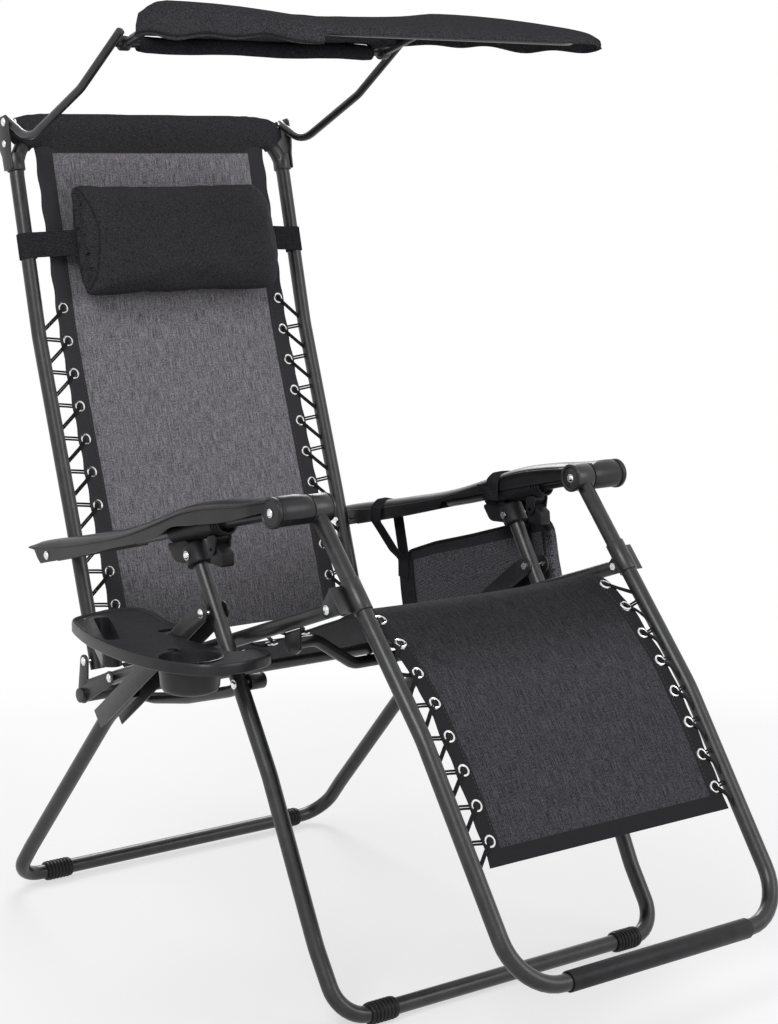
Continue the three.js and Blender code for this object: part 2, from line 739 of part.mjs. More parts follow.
addPair('clamp_bolt', bolt(
  clampPivot, -frontLegX - barrelFace - seatGap, -frontLegX + barrelFace + seatGap,
), steel);

// Lock lever below the front of the saddle
function lockLever() {
  const tip = plus(leverAt, [-lugRadius, -lugRadius], 2);
  const heel = plus(leverAt, [lugRadius / 2, -lugRadius * 2]);
  const corners = [[leverAt, lugRadius / 2], [tip, lugRadius / 3], [heel, lugRadius / 3]];
  const outline = roundedLink(corners, boltSides);
  const [from, to] = [-frontLegX - leverThick / 2, -frontLegX + leverThick / 2];
  return cut(slab(outline, from, to), boltHole(leverAt, from, to));
}
addPair('lock_lever', lockLever(), plastic);

// Slings: cloth strips with eyelet holes down both edges
function strip(route) {
  const offset = (sign) => route.map((p, i) => {
    const before = route[Math.max(0, i - 1)];
    const after = route[Math.min(route.length - 1, i + 1)];
    return plus(p, across(unit(minus(after, before))), (sign * clothThick) / 2);
  });
  return slab([...offset(-1), ...offset(1).reverse()], -slingHalf, slingHalf);
}

function eyeletPlaces(route, { count, first, pitch }) {
  return Array.from({ length: count }, (_, i) => along(route, first + i * pitch));
}

function eyeletCuts(places) {
  return places.flatMap(({ at, way }) => {
    const normal = across(way);
    return [-1, 1].map((side) => sideBar(
      side * eyeletX, plus(at, normal, -cutOverrun), plus(at, normal, cutOverrun), eyeletHole, cordSides,
    ));
  });
}

// One bungee cord: through each eyelet, over the tube, round it and back under to the next
function lace(places, tubeRoute, tubeX, tubeRadius, toSitter) {
  const clear = tubeRadius + cordRadius + runningGap;
  const points = [];
  places.forEach(({ at, way }, i) => {
    const normal = across(way).map((v) => v * toSitter);
    const behind = plus(at, normal, -cordStand);
    const before = plus(at, normal, cordStand);
    points.push(new THREE.Vector3(-eyeletX, ...behind), new THREE.Vector3(-eyeletX, ...before));
    if (i === places.length - 1) return;
    const next = places[i + 1];
    const nextBehind = plus(next.at, across(next.way), -cordStand * toSitter);
    const tube = nearest(tubeRoute, plus(at, minus(next.at, at), 1 / 2));
    const face = across(tube.way).map((v) => v * toSitter);
    const angleOf = (p) => {
      const rise = minus(p, tube.at)[0] * face[0] + minus(p, tube.at)[1] * face[1];
      const run = eyeletX - tubeX;
      const turn = Math.atan2(rise, run);
      return { turn: (turn + Math.PI * 2) % (Math.PI * 2), lean: Math.acos(clear / Math.hypot(run, rise)) };
    };
    const start = angleOf(before);
    const end = angleOf(nextBehind);
    const from = start.turn - start.lean;
    const to = end.turn - Math.PI * 2 + end.lean;
    const reach = clear / Math.cos((from - to) / (2 * wrapSteps));
    for (let k = 0; k <= wrapSteps; k += 1) {
      const turn = from + ((to - from) * k) / wrapSteps;
      const p = plus(tube.at, face, reach * Math.sin(turn));
      points.push(new THREE.Vector3(-tubeX - reach * Math.cos(turn), p[0], p[1]));
    }
  });
  const rings = points.map((p, i) => {
    const into = i ? p.clone().sub(points[i - 1]).normalize() : new THREE.Vector3();
    const out = i < points.length - 1 ? points[i + 1].clone().sub(p).normalize() : new THREE.Vector3();
    return { at: p, way: into.add(out).normalize() };
  });
  return sweep(rings, cordRadius, cordSides);
}

function addSling(name, route, eyelets, tube, toSitter, finish) {
  const places = eyeletPlaces(route, eyelets);
  add(`${name}_sling`, cut(finish(strip(route)), ...eyeletCuts(places)), mesh);
  addPair(`${name}_lace`, lace(places, tube.route, tube.x, tube.radius, toSitter), cord);
}

// The back cloth's top hem is a pocket round the frame's top bar
function topHem(body) {
  const bar = backRoute[2];
  const straight = backTubeX - backCorner - seatGap;
  const pocket = crossBar(bar, frameTube + hemOver, -straight, straight);
  const bore = crossBar(bar, frameTube + runningGap, -backTubeX, backTubeX);
  const low = backClothRoute[backClothRoute.length - 1];
  const side = across(unit(minus(bar, low)));
  const tie = slab([
    plus(plus(low, upper, -clothThick), side, clothThick / 2), plus(bar, side, clothThick / 2),
    plus(bar, side, -clothThick / 2), plus(plus(low, upper, -clothThick), side, -clothThick / 2),
  ], -straight, straight);
  return cut(join(body, tie, pocket), bore);
}
const plainEnd = (body) => body;
const backTube = { route: backLine, x: backTubeX, radius: frameTube };
const railAsTube = { route: [seatRear, knee], x: railX, radius: railTube };
const legTube = { route: [armFront, ...legrestRoute], x: legrestX, radius: frameTube };
addSling('back', backClothRoute, backEyelets, backTube, 1, topHem);
addSling('seat', seatClothRoute, seatEyelets, railAsTube, -1, plainEnd);
addSling('leg', legClothRoute, legEyelets, legTube, -1, plainEnd);

// Pillow with its two straps round the back tubes
const pillowTurn = Math.atan2(upper[0], upper[1]);
function pillow() {
  const { across: columns, up: rows } = pillowGrid;
  const corners = [];
  const faces = [];
  [1, -1].forEach((face) => {
    const start = corners.length;
    for (let j = 0; j <= rows; j += 1) {
      for (let i = 0; i <= columns; i += 1) {
        const u = Math.sin((i / columns - 1 / 2) * Math.PI);
        const v = Math.sin((j / rows - 1 / 2) * Math.PI);
        const crown = Math.sqrt(Math.max(0, (1 - u ** 4) * (1 - v ** 4)));
        const x = u * pillowHalf[0] * (1 - pillowDrawnInShare * (1 - v * v));
        const z = v * pillowHalf[1] * (1 - pillowDrawnInShare * (1 - u * u));
        corners.push(new THREE.Vector3(x, face * pillowHalf[2] * crown, z));
      }
    }
    for (let j = 0; j < rows; j += 1) {
      for (let i = 0; i < columns; i += 1) {
        const a = start + j * (columns + 1) + i;
        const c = a + columns + 1;
        const quads = [[a, a + 1, c + 1], [a, c + 1, c]];
        quads.forEach((t) => faces.push(...(face > 0 ? [t[0], t[2], t[1]] : t)));
      }
    }
  });
  const body = new THREE.BufferGeometry().setFromPoints(corners);
  body.setIndex(faces);
  const centre = plus(pillowAt, across(upper), pillowLift);
  body.applyMatrix4(new THREE.Matrix4().makeRotationX(-pillowTurn)).translate(0, centre[0], centre[1]);
  return body;
}
function strap() {
  const low = plus(pillowAt, upper, -strapHeight / 2);
  const high = plus(pillowAt, upper, strapHeight / 2);
  const inner = frameTube + strapPlay;
  const ring = cut(
    sideBar(-backTubeX, low, high, inner + strapThick),
    sideBar(-backTubeX, plus(low, upper, -cutOverrun), plus(high, upper, cutOverrun), inner),
  );
  const front = across(upper);
  const reach = inner + strapThick;
  const band = [
    plus(low, front, inner), plus(high, front, inner), plus(high, front, reach), plus(low, front, reach),
  ];
  const tongue = slab(band, -backTubeX, -pillowHalf[0] + strapHeight * 2);
  return join(ring, tongue);
}
const strapShape = strap();
add('pillow', join(pillow(), strapShape, mirrored(strapShape)), cloth);

// Canopy: bent arms and cross bar, and the covered frame that tilts round the bar
const armHole = boltHole(canopyPivot, -canopyArmX - canopyTube, -canopyArmX + canopyTube);
const canopyArm = bentTube(sidePoints(canopyArmRoute, -canopyArmX), canopyArmBend, canopyTube, thinSides);
addPair('canopy_arm', cut(canopyArm, armHole), paint);
addPair('canopy_bolt', bolt(
  canopyPivot, -bracketFrom - plateThick - seatGap, -canopyArmX + canopyTube + seatGap,
), steel);
const barEnd = canopyArmX - canopyTube - seatGap;
add('canopy_bar', crossBar(canopyBarAt, canopyTube, -barEnd, barEnd, thinSides), paint);

function canopyFrame() {
  const route = [plus(canopyBarAt, [-canopyEye / 2, 0]), ...canopyFrameRoute];
  const rails = loopTube(route, canopyFrameX, easyBend / 2, canopyFrameCorner, canopyTube);
  const eyes = [-1, 1].map((side) => crossBar(
    canopyBarAt, canopyEye, side * (canopyFrameX - canopyTube), side * (canopyFrameX + canopyTube),
  ));
  const bore = crossBar(canopyBarAt, canopyTube + runningGap, -barEnd, barEnd, thinSides);
  return cut(join(rails, ...eyes), bore);
}
add('canopy_frame', canopyFrame(), paint);

function canopyCover() {
  const outer = slab([...coverTopRoute, ...coverHemRoute], -coverHalf, coverHalf);
  const inside = (p, i, all) => {
    const before = all[Math.max(0, i - 1)];
    const after = all[Math.min(all.length - 1, i + 1)];
    return plus(p, across(unit(minus(after, before))), coverCloth);
  };
  const roof = coverTopRoute.map(inside);
  roof[0] = plus(roof[0], unit(minus(coverTopRoute[0], coverTopRoute[1])), cutOverrun * 2);
  const last = roof.length - 1;
  const below = coverHemRoute.map((p) => [p[0], p[1] - cutOverrun * 3]);
  below[0] = [roof[last][0], below[0][1]];
  below[below.length - 1][0] += cutOverrun * 3;
  const inner = slab([...roof, ...below], -coverHalf + coverCloth, coverHalf - coverCloth);
  return cut(outer, inner);
}
add('canopy_cover', canopyCover(), cloth);

// Cup tray on the right: an oval plate with a lip, a notch round the legs, a cup and a slot
const trayPlace = ([wide, long]) => [-trayOuter + wide * trayWide, trayFront + long * trayLong];
function trayOutline(inset) {
  const places = trayOutlineShares.map(trayPlace).map(([x, y]) => new THREE.Vector3(x, y, 0));
  const curve = new THREE.CatmullRomCurve3(places, true);
  const count = places.length * traySteps;
  return new THREE.Shape(Array.from({ length: count }, (_, i) => {
    const at = curve.getPoint(i / count);
    const way = curve.getTangent(i / count);
    return new THREE.Vector2(at.x + inset * way.y, at.y - inset * way.x);
  }));
}

function cupTray() {
  const low = trayTop - trayThick;
  const base = trayTop - trayLip;
  const [above, below] = [trayTop + cutOverrun, base - cutOverrun];
  const skin = cut(raised(trayOutline(0), base, trayTop), raised(trayOutline(trayLipWall), below, low));
  const cupAt = trayPlace(cupShares);
  const cup = upright(cupAt, cupRadius + cupWall, trayTop - cupDepth, low + trayThick / 2);
  const well = upright(cupAt, cupRadius, trayTop - cupDepth + cupWall, above);
  const slotAt = trayPlace(slotShares);
  const slot = new THREE.BoxGeometry(slotLength, slotWidth, trayThick + cutOverrun * 2)
    .rotateZ(THREE.MathUtils.degToRad(slotAngleDegrees)).translate(slotAt[0], slotAt[1], trayTop);
  const channelAt = rearLegPivot[0] + ((trayTop - rearLegPivot[1]) * channelWay[0]) / channelWay[1];
  const legAt = heightAt(frontLegRoute.map(([y, z]) => [z, y]), trayTop);
  const notchRear = channelAt + notchPastChannel;
  const boltFace = channelOuter + foldedWall + seatGap + boltHeadThick;
  const notch = block(-boltFace - notchPlay, 0, legAt - notchPastLeg, notchRear, below, above);
  const footFrom = notchRear + trayFootFromNotch;
  const rest = block(
    -channelOuter - foldedWall, -channelInner, footFrom, footFrom + trayFootLength,
    trayTop - cupDepth * 2, low + trayThick / 2,
  );
  const restHeight = channelDepth + foldedWall + seatGap;
  const belowWeb = slab([
    channelPoint(-channelLength, restHeight), channelPoint(channelLength * 2, restHeight),
    channelPoint(channelLength * 2, -channelLength), channelPoint(-channelLength, -channelLength),
  ], -trayOuter, 0);
  return cut(join(cut(join(skin, cup), well, notch), cut(rest, belowWeb)), slot);
}
add('cup_tray', cupTray(), plastic);

// Side bag that hangs from the left armrest by two loops, in line with the armrest
function sideBag() {
  const inner = armOuter + bagGap;
  const outer = inner + bagDeep;
  const byArm = (reach, down) => plus(plus(armRear, armWay, reach), armDown, down);
  const ends = [bagRear + bagCorner, bagRear + bagLong - bagCorner];
  const pouch = (inset, lift) => {
    const depths = [bagTop + bagCorner - lift, bagTop + bagHigh - bagCorner];
    const corners = ends.flatMap((end) => depths.map((depth) => byArm(end, depth)));
    return roundedLink(corners.map((at) => [at, bagCorner - inset]));
  };
  const body = cut(
    slab(pouch(0, 0), inner, outer), slab(pouch(bagWall, bagCorner * 2), inner + bagWall, outer - bagWall),
  );
  const loops = bagLoops.map((middle) => {
    const [front, rear] = [middle - bagLoopWide / 2, middle + bagLoopWide / 2];
    const top = heightAt(armTopRoute, front) + bagLoopGap;
    const low = onArm(rear, -armWallBelow)[1] - bagLoopGap;
    const edge = onArm(front, bagTop / armWay[0])[1] - cutOverrun;
    const from = armInner - bagLoopGap;
    const face = inner + bagLoopThick;
    const ring = block(from - bagLoopThick, face, front, rear, low - bagLoopThick, top + bagLoopThick);
    const hole = block(from, inner, front - cutOverrun, rear + cutOverrun, low, top);
    const tab = block(inner, face, front, rear, edge, top);
    return join(cut(ring, hole), tab);
  });
  return join(body, ...loops);
}
add('side_bag', sideBag(), cloth);

// Stand the finished part on the origin, at the middle of its outer box
const whole = new THREE.Box3().setFromObject(part);
const middle = whole.getCenter(new THREE.Vector3());
part.children.forEach((piece) => piece.geometry.translate(-middle.x, -middle.y, -whole.min.z));

export default part;
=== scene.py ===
# %% [markdown]
# A folding recliner with a sun canopy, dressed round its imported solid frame.
# Lengths are metres in the frame's own axes: x to the sitter's left, y to the rear, z up.
# Places are first written in millimetres about the chair's plane of symmetry, and the
# helper at() moves them to the frame.

import json
import math

import bmesh
import bpy
import numpy as np
from mathutils import Matrix, Vector, noise
from mathutils.bvhtree import BVHTree
from mathutils.geometry import convex_hull_2d


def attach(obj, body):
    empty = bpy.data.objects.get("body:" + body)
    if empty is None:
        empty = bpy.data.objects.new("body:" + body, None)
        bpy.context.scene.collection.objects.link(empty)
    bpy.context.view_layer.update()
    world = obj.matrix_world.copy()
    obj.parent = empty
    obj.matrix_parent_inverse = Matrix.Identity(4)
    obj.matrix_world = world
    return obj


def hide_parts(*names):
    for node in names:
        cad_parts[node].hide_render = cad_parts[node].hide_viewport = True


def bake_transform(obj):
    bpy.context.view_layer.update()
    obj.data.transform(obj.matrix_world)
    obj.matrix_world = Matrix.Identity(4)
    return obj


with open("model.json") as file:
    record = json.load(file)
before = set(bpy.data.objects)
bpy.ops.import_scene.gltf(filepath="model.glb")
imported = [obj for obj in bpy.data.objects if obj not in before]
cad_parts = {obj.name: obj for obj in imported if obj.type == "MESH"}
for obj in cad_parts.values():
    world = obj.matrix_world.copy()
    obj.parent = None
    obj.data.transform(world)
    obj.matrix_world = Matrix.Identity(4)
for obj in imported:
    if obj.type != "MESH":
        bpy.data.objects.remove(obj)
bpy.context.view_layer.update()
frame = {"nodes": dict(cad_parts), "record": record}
scene = bpy.context.scene
NODES = frame["nodes"]
SHIFT = (38.5, 154.378647, 0.0)
SIGNS = (-1, 1)
SIDES = (("right", -1), ("left", 1))
X, Y, Z = Vector((1, 0, 0)), Vector((0, 1, 0)), Vector((0, 0, 1))


def at(x, y, z):
    """A point in millimetres about the plane of symmetry, as metres in the frame."""
    return Vector(((x + SHIFT[0]) / 1000, (y + SHIFT[1]) / 1000, (z + SHIFT[2]) / 1000))


def add_object(name, verts, faces):
    """A mesh object, linked to the scene."""
    mesh = bpy.data.meshes.new(name)
    mesh.from_pydata([tuple(v) for v in verts], [], faces)
    obj = bpy.data.objects.new(name, mesh)
    scene.collection.objects.link(obj)
    return obj


# %% [markdown]
# The camera stands where the photographer's stood, off the sitter's right front.

# %% Camera
AZIMUTH, ELEVATION, ROLL = (math.radians(a) for a in (-39.358, 8.227, 0.045))
FOCAL_PX, IMAGE = 2363.4, (778, 1024)
CENTRE_PX = (387.34, 497.36)
cam_data = bpy.data.cameras.new("camera")
cam_data.sensor_width = 36
cam_data.lens = FOCAL_PX / IMAGE[1] * 36
cam_data.shift_x = (IMAGE[0] / 2 - CENTRE_PX[0]) / IMAGE[1]
cam_data.shift_y = (CENTRE_PX[1] - IMAGE[1] / 2) / IMAGE[1]
cam_data.clip_end = 60
camera = bpy.data.objects.new("camera", cam_data)
scene.collection.objects.link(camera)
scene.camera = camera
level = math.cos(ELEVATION)
back = Vector((math.sin(AZIMUTH) * level, -math.cos(AZIMUTH) * level, math.sin(ELEVATION)))
right = Vector((math.cos(AZIMUTH), math.sin(AZIMUTH), 0))
turn = Matrix((right, back.cross(right), back)).transposed().to_4x4()
camera.matrix_world = (
    Matrix.Translation(at(-2067.6, -2699.2, 1106.1)) @ turn @ Matrix.Rotation(ROLL, 4, "Z")
)
print("camera at", [round(v, 3) for v in camera.location])

# %% [markdown]
# Shader maths reads as ordinary sums: a Signal stands for one output of a node, the first
# unless it is named. One method adds any node from its type, its settings and its sockets.

# %% Node helpers
class Signal:
    """An output of a node, that can be added, scaled, compared and shaped."""

    def __init__(self, nodes, node, name=0):
        self.nodes, self.node, self.name = nodes, node, name

    def out(self, name):
        """Another output of the same node."""
        return Signal(self.nodes, self.node, name)

    def feed(self, socket):
        self.nodes.tree.links.new(self.node.outputs[self.name], socket)

    def math(self, operation, *others):
        return self.nodes.math(operation, self, *others)

    def __add__(self, other):
        return self.math("ADD", other)

    def __mul__(self, other):
        return self.math("MULTIPLY", other)

    def ranged(self, settings, limits):
        return self.nodes.add("ShaderNodeMapRange", settings, {"Value": self, **limits})

    def smooth(self, low, high):
        return self.ranged({"interpolation_type": "SMOOTHSTEP"}, {"From Min": low, "From Max": high})

    def between(self, low, high):
        return self.ranged({}, {"To Min": low, "To Max": high})


class Nodes:
    """A node tree that grows by one method."""

    def __init__(self, tree):
        self.tree = tree

    def add(self, kind, settings, sockets):
        node = self.tree.nodes.new(kind)
        for key, value in settings.items():
            setattr(node, key, value)
        for key, value in sockets.items():
            if isinstance(value, Signal):
                value.feed(node.inputs[key])
            else:
                node.inputs[key].default_value = value
        return Signal(self, node)

    def math(self, operation, *values):
        return self.add("ShaderNodeMath", {"operation": operation}, dict(enumerate(values)))


COLOR_A, COLOR_B, COLOR_MIXED = 6, 7, 2


class Look(Nodes):
    """A material being built: a Principled shader and the nodes that feed it."""

    def __init__(self, name, color, roughness, metallic=0.0, coat=0.0, sheen=0.0, specular=0.5):
        self.material = bpy.data.materials.new(name)
        self.material.use_nodes = True
        super().__init__(self.material.node_tree)
        self.shader = self.tree.nodes["Principled BSDF"]
        fixed = {
            "Base Color": (*color, 1), "Roughness": roughness, "Metallic": metallic,
            "Coat Weight": coat, "Sheen Weight": sheen, "Specular IOR Level": specular,
        }
        for key, value in fixed.items():
            self.shader.inputs[key].default_value = value
        self.place = self.add("ShaderNodeTexCoord", {}, {}).out("Object")

    def noise(self, scale, detail, vector=None):
        sockets = {"Vector": vector or self.place, "Scale": scale, "Detail": detail}
        return self.add("ShaderNodeTexNoise", {}, sockets).out("Fac")

    def split(self, vector):
        parts = self.add("ShaderNodeSeparateXYZ", {}, {0: vector})
        return [parts.out(axis) for axis in "XYZ"]

    def cloth_place(self):
        return self.add("ShaderNodeUVMap", {"uv_map": "cloth"}, {}).out("UV")

    def stretched(self, vector, scale):
        return self.add("ShaderNodeMapping", {}, {"Vector": vector, "Scale": scale})

    def color(self, amount, low, high):
        low, high = (c if isinstance(c, Signal) else (*c, 1) for c in (low, high))
        sockets = {"Factor": amount, COLOR_A: low, COLOR_B: high}
        mixed = self.add("ShaderNodeMix", {"data_type": "RGBA"}, sockets).out(COLOR_MIXED)
        self.put("Base Color", mixed)
        return mixed

    def put(self, name, signal):
        signal.feed(self.shader.inputs[name])

    def bump(self, height, distance, strength):
        sockets = {"Strength": strength, "Distance": distance, "Height": height}
        self.put("Normal", self.add("ShaderNodeBump", {}, sockets))

# %% [markdown]
# The hard finishes. Powder-coated tube has a fine orange peel and a soft gloss, moulded
# plastic a grain, bolts a brushed zinc. Noise on Object coordinates varies each of them.

# %% Hard finishes
def hard_look(name, base, roughness, tones, grain, gloss, bump, **more):
    """Each noise is its scale and detail, then its range, or for the bump depth and strength."""
    look = Look(name, base, roughness, **more)
    look.color(look.noise(*grain[:2]).smooth(*grain[2:]), *tones)
    if gloss:
        look.put("Roughness", look.noise(*gloss[:2]).between(*gloss[2:]))
    if bump:
        look.bump(look.noise(*bump[:2]), *bump[2:])
    return look


COAT_TONES = ((0.014, 0.0142, 0.0155), (0.024, 0.0242, 0.026))
PLASTIC_TONES = ((0.011, 0.011, 0.0125), (0.017, 0.017, 0.019))
STEEL_TONES = ((0.7, 0.7, 0.71), (0.9, 0.9, 0.9))
CORD_TONES = ((0.006, 0.006, 0.007), (0.022, 0.022, 0.024))
paint = hard_look("satin_coat", (0.014, 0.014, 0.016), 0.33, COAT_TONES, (60, 3, 0.35, 0.7),
                  (240, 3, 0.28, 0.44), (900, 2, 0.00012, 0.35), metallic=0.2, coat=0.1)
plastic = hard_look("moulded_plastic", (0.014, 0.014, 0.015), 0.5, PLASTIC_TONES, (45, 2, 0.3, 0.7),
                    (180, 3, 0.34, 0.54), (1500, 3, 0.00018, 0.4), specular=0.2)
gloss_plastic = hard_look("polished_plastic", (0.013, 0.013, 0.015), 0.32, PLASTIC_TONES,
                          (30, 2, 0.3, 0.7), (120, 3, 0.28, 0.44), (400, 2, 0.00008, 0.3),
                          coat=0.03, specular=0.3)
steel = hard_look("bright_steel", (0.8, 0.8, 0.81), 0.2, STEEL_TONES, (300, 2, 0.3, 0.7),
                  (700, 2, 0.12, 0.3), None, metallic=1.0)
cord_look = hard_look("braided_cord", (0.01, 0.01, 0.011), 0.7, CORD_TONES, (1500, 1, 0.4, 0.75),
                      None, (1800, 1, 0.0004, 0.6), sheen=0.05, specular=0.12)
print("hard finishes are made")

# %% [markdown]
# Cloth reads the piece's own "cloth" coordinates, across and along in metres, so its weave
# follows the surface. The open mesh lets light through between its threads, and its hems
# are a tighter black cloth.

# %% Cloth finishes
def weave(look, pitch):
    u, v, _ = look.split(look.cloth_place())
    warp = (u * (math.pi / pitch)).math("SINE").math("ABSOLUTE")
    weft = (v * (math.pi / pitch)).math("SINE").math("ABSOLUTE")
    return u, v, warp, weft


def cloth_look(name, dark, light, pitch, grain=620):
    """Plain woven cloth with a bump, from the piece's own cloth coordinates."""
    look = Look(name, dark, 0.8, specular=0.0)
    _, _, warp, weft = weave(look, pitch)
    look.color((warp * weft * 0.35 + look.noise(grain, 2)).smooth(0.42, 0.92), dark, light)
    look.put("Roughness", look.noise(90, 2).between(0.7, 0.92))
    look.bump(warp * weft + look.noise(60, 2) * 1.5, 0.0005, 0.5)
    return look


black_cloth = cloth_look("black_cloth", (0.022, 0.0215, 0.0245), (0.08, 0.078, 0.087), 0.0014, 480)
band_cloth = cloth_look("band_cloth", (0.02, 0.0195, 0.022), (0.068, 0.066, 0.073), 0.0012)
webbing = cloth_look("webbing", (0.013, 0.0125, 0.0145), (0.045, 0.044, 0.049), 0.0022)
thread = Look("sewing_thread", (0.05, 0.05, 0.054), 0.6)
thread.color(thread.noise(2500, 1), (0.035, 0.035, 0.038), (0.08, 0.08, 0.085))


# The pillow's twill runs on Object coordinates, because a remesh drops UVs.
twill = Look("twill", (0.016, 0.016, 0.018), 0.66, specular=0.1)
tx, ty, tz = twill.split(twill.place)
rise = tz * 0.97 + ty * 0.25
ridges = ((tx + rise) * (math.pi / 0.0027)).math("SINE").math("ABSOLUTE")
speckle = twill.noise(520, 2)
twill.color((ridges * 0.3 + speckle).smooth(0.45, 0.95), (0.008, 0.0078, 0.0095), (0.05, 0.049, 0.055))
twill.put("Roughness", twill.noise(30, 2).between(0.5, 0.72))
twill.bump(ridges + speckle + twill.noise(45, 2) * 2, 0.0006, 0.5)


def mesh_look(name, dark, light, open_share, band_from, painted_shade_span, dim, top_from, band):
    """Open woven mesh: mixed threads, small holes between them, black bands at its hems, and painted shade
    over part of its length.
    """
    look = Look(name, dark, 0.75, specular=0.05)
    u, v, warp, weft = weave(look, 0.0019)
    down = look.noise(1.0, 1, look.stretched(look.cloth_place(), (1000, 42, 1)))
    across = look.noise(1.0, 1, look.stretched(look.cloth_place(), (60, 1000, 1)))
    grain = look.noise(520, 2)
    thread_mix = (down * 0.4 + across * 0.15 + grain * 0.45).smooth(0.36, 0.66)
    # Painted shade: where v is below the span, the thread colours are scaled by dim, blending back to full
    # tone across the span.
    painted_shade_tones = [tuple(c * dim for c in tone) for tone in (dark, light)]
    grey = look.color(
        v.smooth(*painted_shade_span), look.color(thread_mix, *painted_shade_tones), look.color(thread_mix, dark, light))
    edge = u.math("ABSOLUTE").smooth(band_from - 0.0008, band_from + 0.0008)
    edge = edge.math("MAXIMUM", v.smooth(top_from - 0.0008, top_from + 0.0008))
    look.color(edge, grey, (band, band * 0.97, band * 1.09))
    hole = warp.smooth(0.1, 0.55).math("MAXIMUM", weft.smooth(0.1, 0.55)).math("MAXIMUM", edge)
    look.put("Alpha", hole.between(1 - open_share, 1.0))
    look.bump(warp + weft + edge * 2, 0.0004, 0.5)
    return look


# The back's painted shade darkens its lowest 0.2 m. The seat's painted shade darkens the seat and the upper
# legrest, fading out between 0.64 and 0.76 m.
back_mesh = mesh_look("back_mesh", (0.08, 0.077, 0.085), (0.325, 0.314, 0.344), 0.35, 0.181,
                      (0, 0.2), 0.55, 0.744, 0.042)
seat_mesh = mesh_look("seat_mesh", (0.02, 0.0196, 0.023), (0.088, 0.085, 0.096), 0.22, 0.186,
                      (0.64, 0.76), 0.45, 0.961, 0.022)
LOOK_OF = {
    "coated_steel": paint, "black_plastic": plastic, "woven_mesh": back_mesh,
    "black_cloth": black_cloth, "bright_steel": steel, "bungee_cord": cord_look,
}
SLOT_OF = {s["node"]: s["material_slot"] for s in frame["record"]["subparts"]}
for name, node in NODES.items():
    node.data.materials.clear()
    node.data.materials.append(LOOK_OF[SLOT_OF[name]].material)
print("materials", len(bpy.data.materials))

# %% [markdown]
# The studio: pale floor that keeps the shadow, white surround, soft lamps. Beyond the
# shadow the floor glows white to the camera, so it meets the white surround with no line.

# %% Stage and light
FLOOR_HALF = 12.0
corners = [(a * FLOOR_HALF, b * FLOOR_HALF, -0.0004) for a, b in ((-1, -1), (1, -1), (1, 1), (-1, 1))]
floor = add_object("floor", corners, [(0, 1, 2, 3)])
floor_look = Look("floor_pale", (0.92, 0.92, 0.92), 0.9, specular=0.1)
fx, fy, _ = floor_look.split(floor_look.place)
radius = (fx * fx + fy * fy).math("SQRT")


def white_to_the_eye(nodes):
    """1 for what the camera, a reflection or clear stuff sees, 0 for what lights the object."""
    paths = nodes.add("ShaderNodeLightPath", {}, {})
    seen = paths.out("Is Camera Ray").math("MAXIMUM", paths.out("Is Glossy Ray"))
    return seen.math("MAXIMUM", paths.out("Is Transmission Ray"))


far = radius.smooth(0.9, 1.9).math("MAXIMUM", 0.6) * white_to_the_eye(floor_look)
glow = floor_look.add("ShaderNodeEmission", {}, {})
floor_mix = floor_look.add(
    "ShaderNodeMixShader", {}, {0: far, 1: Signal(floor_look, floor_look.shader), 2: glow}
)
floor_out = floor_look.tree.nodes["Material Output"]
floor_mix.feed(floor_out.inputs["Surface"])
floor.data.materials.append(floor_look.material)

WHITE = (1, 1, 1, 1)
world = bpy.data.worlds.new("studio")
scene.world = world
world.use_nodes = True
world.node_tree.nodes.clear()
sky = Nodes(world.node_tree)
dim = sky.add("ShaderNodeBackground", {}, {"Color": WHITE, "Strength": 0.42})
bright = sky.add("ShaderNodeBackground", {}, {"Color": WHITE, "Strength": 1.0})
sky_mix = sky.add("ShaderNodeMixShader", {}, {0: white_to_the_eye(sky), 1: dim, 2: bright})
sky.add("ShaderNodeOutputWorld", {}, {"Surface": sky_mix})


def lamp(name, place, target, size, power):
    data = bpy.data.lights.new(name, "AREA")
    data.shape, data.size, data.energy = "DISK", size, power
    obj = bpy.data.objects.new(name, data)
    scene.collection.objects.link(obj)
    obj.location = place
    obj.rotation_euler = (Vector(target) - Vector(place)).to_track_quat("-Z", "Y").to_euler()


lamp("key", (-2.6, -1.6, 3.0), (0, 0, 0.6), 1.8, 70)
lamp("fill", (1.6, -3.2, 2.0), (0, 0, 0.6), 2.2, 40)
lamp("rim", (1.8, 2.6, 2.6), (0, 0, 0.7), 1.6, 55)
scene.view_settings.view_transform = "Standard"
print("stage and lamps are set")

# %% [markdown]
# Shape helpers. Side view places are (y, z) pairs in millimetres. Each small solid is a
# closed shell of vertices and faces; a welded part is several shells in one mesh, whose
# edges a bevel rounds, as the real part's stamped and sawn edges are rounded.

# %% Mesh helpers
def unit(v):
    length = math.hypot(*v)
    return tuple(c / length for c in v)


def plus(a, b, scale=1.0):
    """Side view place a moved by b times a scale."""
    return (a[0] + b[0] * scale, a[1] + b[1] * scale)


def minus(a, b):
    return (a[0] - b[0], a[1] - b[1])


def across(way):
    """A side view direction turned by a right angle."""
    return (-way[1], way[0])


def outward(mesh):
    """Turns a closed mesh's faces to point out of it."""
    bm = bmesh.new()
    bm.from_mesh(mesh)
    bmesh.ops.recalc_face_normals(bm, faces=bm.faces)
    if bm.calc_volume(signed=True) < 0:
        bmesh.ops.reverse_faces(bm, faces=bm.faces)
    bm.to_mesh(mesh)
    bm.free()


def finish_edges(obj, angle=50):
    """Smooth shading with sharp edges kept where the surface really turns."""
    picked = dict(object=obj, active_object=obj, selected_objects=[obj], selected_editable_objects=[obj])
    with bpy.context.temp_override(**picked):
        bpy.ops.object.shade_smooth_by_angle(angle=math.radians(angle))
    return obj


